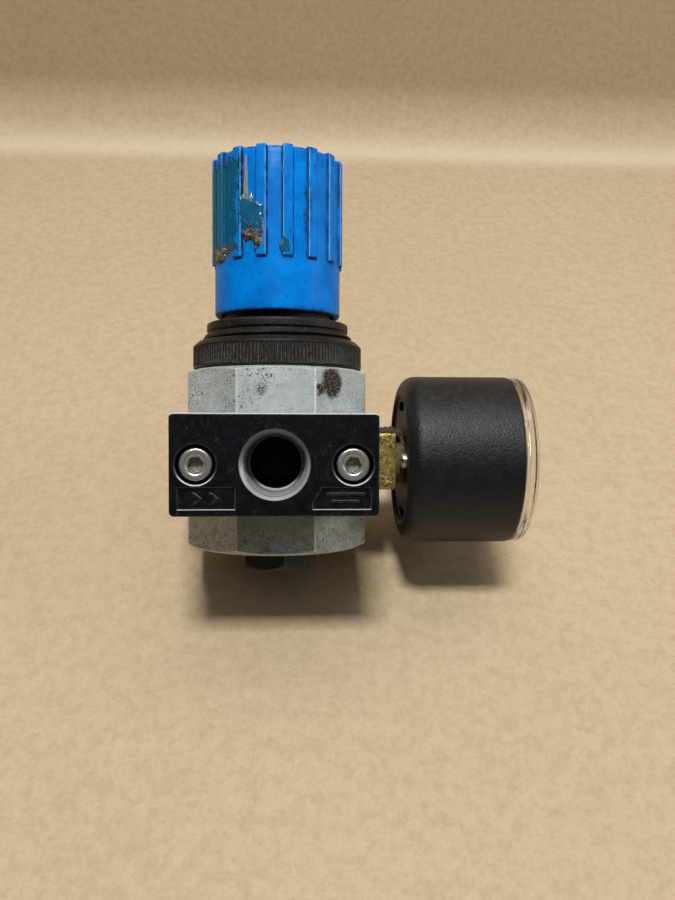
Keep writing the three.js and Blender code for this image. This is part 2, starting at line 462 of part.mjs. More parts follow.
// A point of the dial plane: right is +Y, up is +Z of the part.
const dialXY = (right, up) => [-up, right];
const polar = (r, deg) => dialXY(r * Math.cos(rad(deg)), r * Math.sin(rad(deg)));
{
  // socket: threaded end, square, neck, inner bar across the case and the block that holds the tube
  const legPts = [];
  for (const a of [-149, -145, -140, -135, -131]) legPts.push(polar(16.2, a));
  for (const a of [-131, -140, -149]) legPts.push(polar(12.4, a));
  const square = loft([
    [roundedRect(SQUARE_AF - 0.8, SQUARE_AF - 0.8, 1.0, 2), 21.7],
    [roundedRect(SQUARE_AF, SQUARE_AF, 1.4, 2), 22.1],
    [roundedRect(SQUARE_AF, SQUARE_AF, 1.4, 2), 27.6],
    [roundedRect(SQUARE_AF - 0.8, SQUARE_AF - 0.8, 1.0, 2), 28.0],
  ]);
  const armPts = [polar(3.0, -110), polar(14.0, -146), polar(15.0, -140), polar(14.0, -134), polar(3.0, -60)];
  const s = cut(
    join(
      disc(4.3, 12, 22, 24),
      square,
      disc(5.7, 27.5, 32, 28),
      box(-4, 4, -10, 10, 31.6, 36),
      prism(armPts, 31.6, 36),
      prism(legPts, 31.6, 43),
    ),
    disc(1.2, 11, 34, 12),
    ...[-8, 8].map((y) => at(disc(0.95, 31, 34.2, 10), 0, y, 0)),
    ...[-6.2, 6.2].map((y) => at(disc(0.85, 34.4, 37, 10), 0, y, 0)),
  );
  piece(gauge, "gauge_socket", s, MAT.brass());
  piece(gauge, "gauge_seal", ring(4.5, 7.4, 20.85, 21.6, 28), MAT.rubber());

  // case: filleted rear edge, recessed rear face with slots, hole for the socket
  const profile = [[5.9, 30.2], [15.3, 30.2], [15.8, CASE_X0], [16.2, CASE_X0]];
  for (let i = 0; i <= 5; i++) {
    const a = rad(-90 + 18 * i);
    profile.push([CASE_R - 3.6 + 3.6 * Math.cos(a), CASE_X0 + 3.6 + 3.6 * Math.sin(a)]);
  }
  profile.push([CASE_R, CASE_X1], [CASE_IN_R, CASE_X1], [CASE_IN_R, 33.4], [CASE_IN_R - 2, 31.45], [5.9, 31.45]);
  const slot = (turn) => prism([[-1.1, -4.2], [1.1, -4.2], [1.1, 4.2], [-1.1, 4.2]], 29, 32).translate(12.9, 0, 0).rotateZ(rad(turn));
  const caseSolid = cut(
    turned(profile, 56),
    ...[-8, 8].map((y) => at(disc(1.1, 29, 32.5, 10), 0, y, 0)),
    slot(0), slot(180), slot(90), slot(270),
  );
  piece(gauge, "gauge_case", caseSolid, MAT.caseBlack());
  for (const [label, y] of [["front", -8], ["rear", 8]]) {
    const m = piece(gauge, "gauge_case_screw_" + label,
      cut(turned([[0, 28.9], [1.6, 28.9], [1.9, 29.2], [1.9, 30.1], [0.9, 30.1], [0.9, 33.9], [0, 33.9]], 16), box(-2.2, 2.2, -0.25, 0.25, 28, 29.5)),
      MAT.steel());
    m.position.y = y;
  }

  // bent tube: flattened section swept clockwise round the case, closed at its free tip
  {
    const mean = 14.8, hw = 2.4, ht = 0.75;
    const start = -151, sweep = 264;
    const n = 28;
    const pos = [], idx = [];
    const sec = circle(1, 8).map(([x, y]) => [x * ht, y * hw]);
    for (let k = 0; k <= n; k++) {
      const a = start - (sweep * k) / n;
      for (const [dr, dz] of sec) {
        const [x, y] = polar(mean + dr, a);
        pos.push(x, y, 40.5 + dz);
      }
    }
    for (let k = 0; k < n; k++)
      for (let i = 0; i < sec.length; i++) {
        const a = k * sec.length + i, b = k * sec.length + ((i + 1) % sec.length);
        idx.push(a, b, b + sec.length, a, b + sec.length, a + sec.length);
      }
    for (let i = 1; i + 1 < sec.length; i++) {
      idx.push(0, i + 1, i);
      const e = n * sec.length;
      idx.push(e, e + i, e + i + 1);
    }
    const g = new THREE.BufferGeometry();
    g.setAttribute("position", new THREE.Float32BufferAttribute(pos, 3));
    g.setIndex(idx);
    const tipAngle = start - sweep; // -415, the lower right
    const tip = prism([polar(16.0, tipAngle + 1.5), polar(13.5, tipAngle + 1.5), polar(13.3, tipAngle - 8), polar(16.0, tipAngle - 8)], 38.2, 42.0);
    piece(gauge, "bourdon_tube", join(g, tip), MAT.brass());
  }

  // movement frame: two plates on pillars, with posts that carry the dial
  {
    const plate = (z0, z1, up0, up1, w) => prism([dialXY(-w, up0), dialXY(w, up0), dialXY(w, up1), dialXY(-w, up1)], z0, z1);
    const [sx, sy] = dialXY(0, -GEAR_SPAN);
    const pillars = [[-5.6, 4.2], [5.6, 4.2], [-5.6, -13]].map(([r, u]) => {
      const [x, y] = dialXY(r, u);
      return at(disc(1.1, 36.8, 44.2, 12), x, y, 0);
    });
    const posts = [-7, 7].map((r) => {
      const [x, y] = dialXY(r, 0);
      return at(disc(1.4, 44.5, 51.7, 12), x, y, 0);
    });
    const frame = cut(
      join(plate(36.1, 36.9, -14.6, 5.8, 8.2), plate(44.0, 44.8, -14.6, 5.8, 8.6), ...pillars, ...posts),
      bore(0.84, 35, 46, 20),
      at(bore(0.84, 35, 46, 20), sx, sy, 0),
      ...[-6.2, 6.2].map((y) => at(disc(0.9, 35, 38, 10), 0, y, 0)),
      ...[-7, 7].map((y) => at(disc(0.75, 48, 53, 10), 0, y, 0)),
    );
    piece(gauge, "movement_frame", frame, MAT.brass());
    for (const [label, y] of [["front", -6.2], ["rear", 6.2]]) {
      const m = piece(gauge, "movement_screw_" + label,
        turned([[0, 34.6], [0.75, 34.6], [0.75, 37.0], [1.4, 37.0], [1.4, 37.8], [0, 37.8]], 12), MAT.steel());
      m.position.y = y;
    }
    for (const [label, y] of [["front", -7], ["rear", 7]]) {
      const m = piece(gauge, "dial_screw_" + label,
        cut(turned([[0, 49], [0.65, 49], [0.65, 52.5], [1.3, 52.5], [1.3, 53.0], [0, 53.0]], 14), box(-2, 2, -0.18, 0.18, 52.75, 54)), MAT.steel());
      m.position.y = y;
    }
  }

  // gears. Both are drawn in mesh at mid-scale, then turned back to the zero position.
  const toothOutline = (teeth, module, count, firstAngle, addendum, dedendum, share) => {
    // trapezoid teeth centred on firstAngle + k * pitch
    const r = (module * teeth) / 2, pitch = 360 / teeth, pts = [];
    const ra = r + addendum * module, rf = r - dedendum * module;
    const half = (share * pitch) / 2;
    for (let k = 0; k < count; k++) {
      const c = firstAngle + k * pitch;
      pts.push([rf, c - half * 1.45], [ra, c - half * 0.45 * (r / ra)], [ra, c + half * 0.45 * (r / ra)], [rf, c + half * 1.45]);
    }
    return pts;
  };
  const upDeg = 90; // towards +Z of the part in the dial plane
  {
    const pts = toothOutline(PINION_TEETH, GEAR_MODULE, PINION_TEETH, -90, 0.75, 1.0, 0.4).map(([r, a]) => polar(r, a));
    const shaft = turned([[0, 36.2], [0.8, 36.2], [0.8, 54.6], [0.6, 55.0], [0, 55.0]], 20);
    const m = piece(gauge, "pinion", join(prism(pts, 39.0, 42.0), shaft), MAT.steel());
    m.rotation.z = rad(POINTER_SWEEP / 2); // back to zero: see the pointer
  }
  {
    const [px, py] = dialXY(0, -GEAR_SPAN);
    const teeth = 8;
    const first = upDeg - (360 / SECTOR_TEETH) * (teeth / 2 - 0.5); // a space at the centre line
    const arc = toothOutline(SECTOR_TEETH, GEAR_MODULE, teeth, first, 0.75, 1.0, 0.4);
    const pts = [...arc.map(([r, a]) => polar(r, a)), polar(7.0, 90 + 31), polar(1.9, 90 + 60), polar(1.9, 170), polar(1.5, 215), polar(4.1, 270 - 9), polar(4.4, 270), polar(4.1, 270 + 9), polar(1.5, 325), polar(1.9, 10), polar(1.9, 90 - 60), polar(7.0, 90 - 31)];
    const [tx, ty] = polar(3.2, 270);
    const sector = join(prism(pts, 40.0, 41.0), disc(0.8, 36.2, 44.7, 20), at(disc(0.4, 40.5, 43.8, 12), tx, ty, 0));
    const m = piece(gauge, "sector_gear", sector, MAT.brass());
    m.position.set(px, py, 0);
    m.rotation.z = rad(-POINTER_SWEEP / 2 / (SECTOR_TEETH / PINION_TEETH));
  }
  {
    // link from the sector's tail to the tube's tip. The tail pin stands where the zero position puts it.
    const swing = rad(-90 - POINTER_SWEEP / 2 / (SECTOR_TEETH / PINION_TEETH)); // tail direction in the dial plane
    const tail = [3.2 * Math.cos(swing), -GEAR_SPAN + 3.2 * Math.sin(swing)];
    const tip = [14.6 * Math.cos(rad(-58)), 14.6 * Math.sin(rad(-58))];
    const len = Math.hypot(tip[0] - tail[0], tip[1] - tail[1]);
    const pts = [];
    for (let i = 0; i <= 8; i++) { const a = rad(90 + 22.5 * i); pts.push([0.95 * Math.cos(a), 0.95 * Math.sin(a)]); }
    for (let i = 0; i <= 8; i++) { const a = rad(-90 + 22.5 * i); pts.push([len + 0.95 * Math.cos(a), 0.95 * Math.sin(a)]); }
    const hole = (x) => circle(0.46, 16, x, 0).reverse();
    const link = prism(pts, 43.1, 43.6, [hole(0), hole(len)]);
    // local x of the link along tail -> tip
    const [ax, ay] = dialXY(tail[0], tail[1]), [bx, by] = dialXY(tip[0], tip[1]);
    const m = piece(gauge, "tube_link", link, MAT.brass());
    m.position.set(ax, ay, 0);
    m.rotation.z = Math.atan2(by - ay, bx - ax);
  }
  {
    // flat spiral hairspring between pinion shaft and frame
    const turns = 3, n = 36, outer = [], inner = [];
    for (let i = 0; i <= n; i++) {
      const a = (2 * Math.PI * turns * i) / n, r = 1.25 + (3.0 * i) / n;
      outer.push([(r + 0.09) * Math.cos(a), (r + 0.09) * Math.sin(a)]);
      inner.push([(r - 0.09) * Math.cos(a), (r - 0.09) * Math.sin(a)]);
    }
    piece(gauge, "hairspring", prism([...outer, ...inner.reverse()], 42.5, 43.1), MAT.springSteel());
  }

  // dial, stop pin, pointer, window
  piece(gauge, "gauge_dial", prism(circle(17.8, 36), 51.8, 52.4, [circle(1.6, 12).reverse(), circle(0.8, 8, 0, 7).reverse(), circle(0.8, 8, 0, -7).reverse(), circle(0.42, 10, ...polar(11.2, -141)).reverse()]), MAT.white());
  {
    const [x, y] = polar(11.2, -141);
    piece(gauge, "zero_stop_pin", at(disc(0.36, 51.9, 54.3, 10), x, y, 0), MAT.steel());
  }
  {
    // pointer, drawn towards +x of its own frame
    const pts = [[14.2, 0.14], [1.9, 0.62], [1.9, 1.0], [-4.6, 1.25], [-4.9, 0], [-4.6, -1.25], [1.9, -1.0], [1.9, -0.62], [14.2, -0.14]];
    const p = cut(join(prism(pts, 53.5, 53.9), disc(2.1, 53.3, 54.4, 24)), bore(0.84, 53, 55, 20));
    const m = piece(gauge, "gauge_pointer", p, MAT.blackPlastic());
    const [zx, zy] = polar(1, -135);
    m.rotation.z = Math.atan2(zy, zx);
  }
  piece(gauge, "gauge_window",
    turned([[0, 56.9], [17.8, 56.9], [17.8, 54.2], [18.2, 54.2], [18.2, CASE_X1 + 0.1], [WINDOW_R, CASE_X1 + 0.1], [WINDOW_R, WINDOW_X1 - 0.6], [WINDOW_R - 0.6, WINDOW_X1], [0, WINDOW_X1]], 56),
    MAT.clear());
}

export default regulator;
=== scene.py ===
"""Air pressure regulator with a side-mounted gauge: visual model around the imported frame. Lengths are written in mm and scaled to metres."""

import math
import random

import bmesh
import bpy
import numpy as np
from mathutils import Matrix, Vector


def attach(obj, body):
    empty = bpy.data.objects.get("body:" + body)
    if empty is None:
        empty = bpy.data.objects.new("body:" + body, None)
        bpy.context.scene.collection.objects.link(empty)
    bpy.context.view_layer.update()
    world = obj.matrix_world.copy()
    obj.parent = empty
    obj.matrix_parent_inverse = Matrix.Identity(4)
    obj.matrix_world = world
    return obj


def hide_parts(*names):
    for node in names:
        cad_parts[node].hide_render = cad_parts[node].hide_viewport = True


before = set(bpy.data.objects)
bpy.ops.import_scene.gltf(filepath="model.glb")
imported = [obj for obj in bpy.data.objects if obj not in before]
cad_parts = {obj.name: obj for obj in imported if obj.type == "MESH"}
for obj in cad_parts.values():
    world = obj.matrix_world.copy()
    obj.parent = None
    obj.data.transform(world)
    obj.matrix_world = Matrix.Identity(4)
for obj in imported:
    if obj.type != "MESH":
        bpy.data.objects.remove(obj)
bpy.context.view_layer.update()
MM = 0.001
PI = math.pi
rng = random.Random(7)
PORT_Z = 26.0


# ---------------------------------------------------------------- shader helper
class Graph:
    """A node tree with short calls. Coordinates are the frame's own, in mm."""

    def __init__(self, name):
        self.mat = bpy.data.materials.new(name)
        self.mat.use_nodes = True
        self.nt = self.mat.node_tree
        self.nt.nodes.clear()
        self.out = self.nt.nodes.new("ShaderNodeOutputMaterial")
        tc = self.nt.nodes.new("ShaderNodeTexCoord")
        self.p = self.vmath("SCALE", tc.outputs["Object"], scale=1000.0)
        sep = self.nt.nodes.new("ShaderNodeSeparateXYZ")
        self.nt.links.new(self.p, sep.inputs[0])
        self.x, self.y, self.z = sep.outputs

    def put(self, socket, value):
        if hasattr(value, "is_output"):
            self.nt.links.new(value, socket)
        elif value is not None:
            if isinstance(value, (tuple, list)) and socket.type == "RGBA" and len(value) == 3:
                value = (*value, 1.0)
            socket.default_value = value

    def vmath(self, op, a, b=None, scale=None):
        n = self.nt.nodes.new("ShaderNodeVectorMath")
        n.operation = op
        self.put(n.inputs[0], a)
        if b is not None:
            self.put(n.inputs[1], b)
        if scale is not None:
            self.put(n.inputs[3], scale)
        return n.outputs["Value"] if op in ("LENGTH", "DOT_PRODUCT", "DISTANCE") else n.outputs["Vector"]

    def m(self, op, a, b=None, c=None, clamp=False):
        n = self.nt.nodes.new("ShaderNodeMath")
        n.operation, n.use_clamp = op, clamp
        for i, v in enumerate((a, b, c)):
            if v is not None:
                self.put(n.inputs[i], v)
        return n.outputs[0]

    def noise(self, scale, detail=4.0, rough=0.55, vec=None, distortion=0.0, dims="3D"):
        n = self.nt.nodes.new("ShaderNodeTexNoise")
        n.noise_dimensions = dims
        self.put(n.inputs["Vector"], vec if vec is not None else self.p)
        n.inputs["Scale"].default_value = scale
        n.inputs["Detail"].default_value = detail
        n.inputs["Roughness"].default_value = rough
        n.inputs["Distortion"].default_value = distortion
        return n.outputs["Fac"]

    def noise_vec(self, scale, amount, detail=2.0):
        n = self.nt.nodes.new("ShaderNodeTexNoise")
        self.put(n.inputs["Vector"], self.p)
        n.inputs["Scale"].default_value = scale
        n.inputs["Detail"].default_value = detail
        d = self.vmath("SUBTRACT", n.outputs["Color"], (0.5, 0.5, 0.5))
        return self.vmath("ADD", self.p, self.vmath("SCALE", d, scale=amount))

    def cells(self, scale, vec=None, feature="F1", out="Distance", randomness=1.0):
        n = self.nt.nodes.new("ShaderNodeTexVoronoi")
        n.feature = feature
        self.put(n.inputs["Vector"], vec if vec is not None else self.p)
        n.inputs["Scale"].default_value = scale
        n.inputs["Randomness"].default_value = randomness
        return n.outputs[out]

    def step(self, v, a, b, lo=0.0, hi=1.0):
        """Smooth step: lo at a, hi at b."""
        n = self.nt.nodes.new("ShaderNodeMapRange")
        n.interpolation_type = "SMOOTHSTEP"
        n.clamp = True
        self.put(n.inputs["Value"], v)
        if a > b:
            a, b, lo, hi = b, a, hi, lo
        for k, x in (("From Min", a), ("From Max", b), ("To Min", lo), ("To Max", hi)):
            n.inputs[k].default_value = x
        return n.outputs["Result"]

    def band(self, v, a, b, soft):
        """1 between a and b, 0 outside, with soft edges."""
        return self.mul(self.step(v, a - soft, a + soft), self.step(v, b + soft, b - soft))

    def mul(self, *v):
        r = v[0]
        for x in v[1:]:
            r = self.m("MULTIPLY", r, x)
        return r

    def mx(self, *v):
        r = v[0]
        for x in v[1:]:
            r = self.m("MAXIMUM", r, x)
        return r

    def near(self, centre, r0, r1, scale=(1, 1, 1), vec=None):
        """1 within r0 of a point, 0 beyond r1, in mm, each axis stretched by scale."""
        d = self.vmath("SUBTRACT", vec if vec is not None else self.p, centre)
        d = self.vmath("MULTIPLY", d, scale)
        return self.step(self.vmath("LENGTH", d), r1, r0)

    def mix(self, fac, a, b, mode="MIX"):
        n = self.nt.nodes.new("ShaderNodeMix")
        n.data_type, n.blend_type = "RGBA", mode
        n.clamp_factor = True
        self.put(n.inputs[0], fac)
        self.put(n.inputs[6], a)
        self.put(n.inputs[7], b)
        return n.outputs[2]

    def ramp(self, fac, stops):
        n = self.nt.nodes.new("ShaderNodeValToRGB")
        self.put(n.inputs[0], fac)
        e = n.color_ramp.elements
        while len(e) < len(stops):
            e.new(0.5)
        for el, (pos, col) in zip(e, stops):
            el.position = pos
            el.color = (*col, 1.0) if len(col) == 3 else col
        return n.outputs[0]

    def bump(self, height, mm, normal=None):
        """Bump whose height 0..1 spans mm."""
        n = self.nt.nodes.new("ShaderNodeBump")
        n.inputs["Strength"].default_value = 1.0
        n.inputs["Distance"].default_value = mm * MM
        self.put(n.inputs["Height"], height)
        if normal is not None:
            self.put(n.inputs["Normal"], normal)
        return n.outputs[0]

    def bevel_edge(self, mm):
        """About 1 on convex edges and 0 on flats, from the rounded normal."""
        b = self.nt.nodes.new("ShaderNodeBevel")
        b.samples = 4
        b.inputs["Radius"].default_value = mm * MM
        g = self.nt.nodes.new("ShaderNodeNewGeometry")
        d = self.vmath("DOT_PRODUCT", b.outputs[0], g.outputs["Normal"])
        return self.step(d, 0.999, 0.93)

    def ao(self, mm, inside=False):
        n = self.nt.nodes.new("ShaderNodeAmbientOcclusion")
        n.samples = 4
        n.inside = inside
        n.only_local = True
        n.inputs["Distance"].default_value = mm * MM
        return n.outputs["AO"]

    def angle(self):
        """Angle about +Z, radians, 0 at -Y and growing towards +X."""
        return self.m("ARCTAN2", self.x, self.m("MULTIPLY", self.y, -1.0))

    def surface(self, **kw):
        b = self.nt.nodes.new("ShaderNodeBsdfPrincipled")
        names = {"color": "Base Color", "rough": "Roughness", "metal": "Metallic", "normal": "Normal", "coat": "Coat Weight",
                 "coat_rough": "Coat Roughness", "spec": "Specular IOR Level", "sheen": "Sheen Weight", "ior": "IOR", "sss": "Subsurface Weight",
                 "coat_normal": "Coat Normal", "alpha": "Alpha", "trans": "Transmission Weight"}
        for k, v in kw.items():
            self.put(b.inputs[names[k]], v)
        self.nt.links.new(b.outputs[0], self.out.inputs[0])
        self.bsdf = b
        return self.mat


def srgb(r, g, b):
    """Linear colour from an 8-bit screen colour."""
    f = lambda c: c / 12.92 if c <= 0.04045 else ((c + 0.055) / 1.055) ** 2.4
    return tuple(f(c / 255.0) for c in (r, g, b))


# ---------------------------------------------------------------- mesh helpers
def obj_from(name, verts, faces, mat=None, smooth=True, angle=32.0):
    me = bpy.data.meshes.new(name)
    me.from_pydata([tuple(MM * c for c in v) for v in verts], [], faces)
    me.validate()
    me.update()
    ob = bpy.data.objects.new(name, me)
    bpy.context.scene.collection.objects.link(ob)
    bm = bmesh.new()
    bm.from_mesh(me)
    bmesh.ops.recalc_face_normals(bm, faces=bm.faces)
    bm.to_mesh(me)
    bm.free()
    if smooth:
        me.shade_smooth()
        me.set_sharp_from_angle(angle=math.radians(angle))
    if mat:
        me.materials.append(mat)
    return ob


def lathe(name, profile, mat=None, n=128, closed=True, angle=32.0, offset=(0, 0, 0), axis="Z"):
    """Turned body about +Z from [r, z] points. Points on the axis become one vertex."""
    verts, rings = [], []
    for r, z in profile:
        if r < 1e-6:
            rings.append([len(verts)])
            verts.append((0.0, 0.0, z))
        else:
            rings.append(list(range(len(verts), len(verts) + n)))
            for i in range(n):
                a = 2 * PI * i / n
                verts.append((r * math.cos(a), r * math.sin(a), z))
    faces = []
    pairs = list(zip(rings, rings[1:]))
    if closed:
        pairs.append((rings[-1], rings[0]))
    for a, b in pairs:
        if len(a) == 1 and len(b) == 1:
            continue
        for i in range(n):
            j = (i + 1) % n
            if len(a) == 1:
                faces.append((a[0], b[j], b[i]))
            elif len(b) == 1:
                faces.append((a[i], a[j], b[0]))
            else:
                faces.append((a[i], a[j], b[j], b[i]))
    verts = [turn_to(v, axis, offset) for v in verts]
    return obj_from(name, verts, faces, mat, True, angle)


def turn_to(v, axis, offset=(0, 0, 0)):
    """A point drawn about +Z, laid along another axis. The gauge's rule holds for X: local x becomes down."""
    x, y, z = v
    if axis == "X":
        x, y, z = z, y, -x
    elif axis == "-X":
        x, y, z = -z, y, x
    elif axis == "-Y":
        x, y, z = x, -z, y
    elif axis == "Y":
        x, y, z = -x, z, y
    return (x + offset[0], y + offset[1], z + offset[2])


def prism(name, pts, z0, z1, mat=None, axis="Z", offset=(0, 0, 0), angle=32.0, top=None):
    """Prism on a closed outline; top is another outline with as many points for a sloped wall."""
    n = len(pts)
    tp = top or pts
    verts = [turn_to((x, y, z0), axis, offset) for x, y in pts] + [turn_to((x, y, z1), axis, offset) for x, y in tp]
    faces = [tuple(range(n))[::-1], tuple(range(n, 2 * n))]
    faces += [(i, (i + 1) % n, n + (i + 1) % n, n + i) for i in range(n)]
    return obj_from(name, verts, faces, mat, True, angle)


def rounded(w, h, r, n=5, cx=0.0, cy=0.0):
    pts = []
    for sx, sy, a0 in ((1, 1, 0), (-1, 1, 90), (-1, -1, 180), (1, -1, 270)):
        for i in range(n + 1):
            a = math.radians(a0 + 90 * i / n)
            pts.append((cx + sx * (w / 2 - r) + r * math.cos(a), cy + sy * (h / 2 - r) + r * math.sin(a)))
    return pts


def ngon(n, af, turn=0.0, cx=0.0, cy=0.0):
    r = af / 2 / math.cos(PI / n)
    return [(cx + r * math.cos(math.radians(turn) + 2 * PI * (i + 0.5) / n), cy + r * math.sin(math.radians(turn) + 2 * PI * (i + 0.5) / n)) for i in range(n)]


def bevel(ob, width, segments=3, angle=30.0, pick=None):
    """Rounds the mesh's sharp edges in place."""
    bm = bmesh.new()
    bm.from_mesh(ob.data)
    edges = []
    for e in bm.edges:
        if len(e.link_faces) == 2 and e.calc_face_angle(0.0) > math.radians(angle):
            if pick is None or pick(e):
                edges.append(e)
    bmesh.ops.bevel(bm, geom=edges, offset=width * MM, offset_type="OFFSET", segments=segments, profile=0.5, affect="EDGES", clamp_overlap=True, loop_slide=True)
    bm.to_mesh(ob.data)
    bm.free()
    ob.data.shade_smooth()
    ob.data.set_sharp_from_angle(angle=math.radians(34))
    return ob


def apply_modifiers(ob):
    dg = bpy.context.evaluated_depsgraph_get()
    me = bpy.data.meshes.new_from_object(ob.evaluated_get(dg), depsgraph=dg)
    old = ob.data
    ob.modifiers.clear()
    ob.data = me
    bpy.data.meshes.remove(old)
    return ob


def boolean(ob, tools, op="DIFFERENCE"):
    """Exact boolean with each tool in turn; the tools are removed."""
    for t in tools:
        md = ob.modifiers.new("b", "BOOLEAN")
        md.operation, md.object, md.solver = op, t, "EXACT"
        md.use_hole_tolerant = False
        bpy.context.view_layer.update()
        apply_modifiers(ob)
        bpy.data.objects.remove(t)
    return ob


def tidy(ob, angle=34.0, merge=0.002, mat=None):
    """Merges stray vertices, marks sharp edges and weights the normals by face area."""
    bm = bmesh.new()
    bm.from_mesh(ob.data)
    bmesh.ops.remove_doubles(bm, verts=bm.verts, dist=merge * MM)
    bmesh.ops.dissolve_degenerate(bm, edges=bm.edges, dist=0.0005 * MM)
    bm.to_mesh(ob.data)
    bm.free()
    ob.data.shade_smooth()
    ob.data.set_sharp_from_angle(angle=math.radians(angle))
    if mat is not None:
        ob.data.materials.clear()
        ob.data.materials.append(mat)
        for p in ob.data.polygons:
            p.material_index = 0
    w = ob.modifiers.new("normals", "WEIGHTED_NORMAL")
    w.mode, w.weight, w.keep_sharp = "FACE_AREA", 50, True
    return ob


def join(name, obs):
    """One object of several, materials kept."""
    mats, verts, faces, idx = [], [], [], []
    for o in obs:
        base = len(verts)
        mw = o.matrix_world
        verts += [tuple(mw @ v.co) for v in o.data.vertices]
        slot = {}
        for i, m_ in enumerate(o.data.materials):
            if m_ not in mats:
                mats.append(m_)
            slot[i] = mats.index(m_)
        for p in o.data.polygons:
            faces.append(tuple(base + v for v in p.vertices))
            idx.append(slot.get(p.material_index, 0))
    me = bpy.data.meshes.new(name)
    me.from_pydata(verts, [], faces)
    for m_ in mats:
        me.materials.append(m_)
    me.polygons.foreach_set("material_index", idx)
    me.shade_smooth()
    me.set_sharp_from_angle(angle=math.radians(34))
    me.update()
    ob = bpy.data.objects.new(name, me)
    bpy.context.scene.collection.objects.link(ob)
    for o in obs:
        bpy.data.objects.remove(o)
    return ob


def grid_body(name, rows, mat=None, closed=True, angle=40.0):
    """Body from equal rings of points (rows of n points); the rows' first and last ring are joined when closed."""
    n = len(rows[0])
    verts = [p for r in rows for p in r]
    faces = []
    k = len(rows)
    for a in range(k if closed else k - 1):
        b = (a + 1) % k
        for i in range(n):
            j = (i + 1) % n
            faces.append((a * n + i, a * n + j, b * n + j, b * n + i))
    return obj_from(name, verts, faces, mat, True, angle)


def finish_piece(ob, body, slot, *nodes):
    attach(ob, body)
    if nodes:
        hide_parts(*nodes)
    return ob


# ---------------------------------------------------------------- materials
RIB_TURN = math.radians(-13.0)
RIB_PITCH = 2 * PI / 16


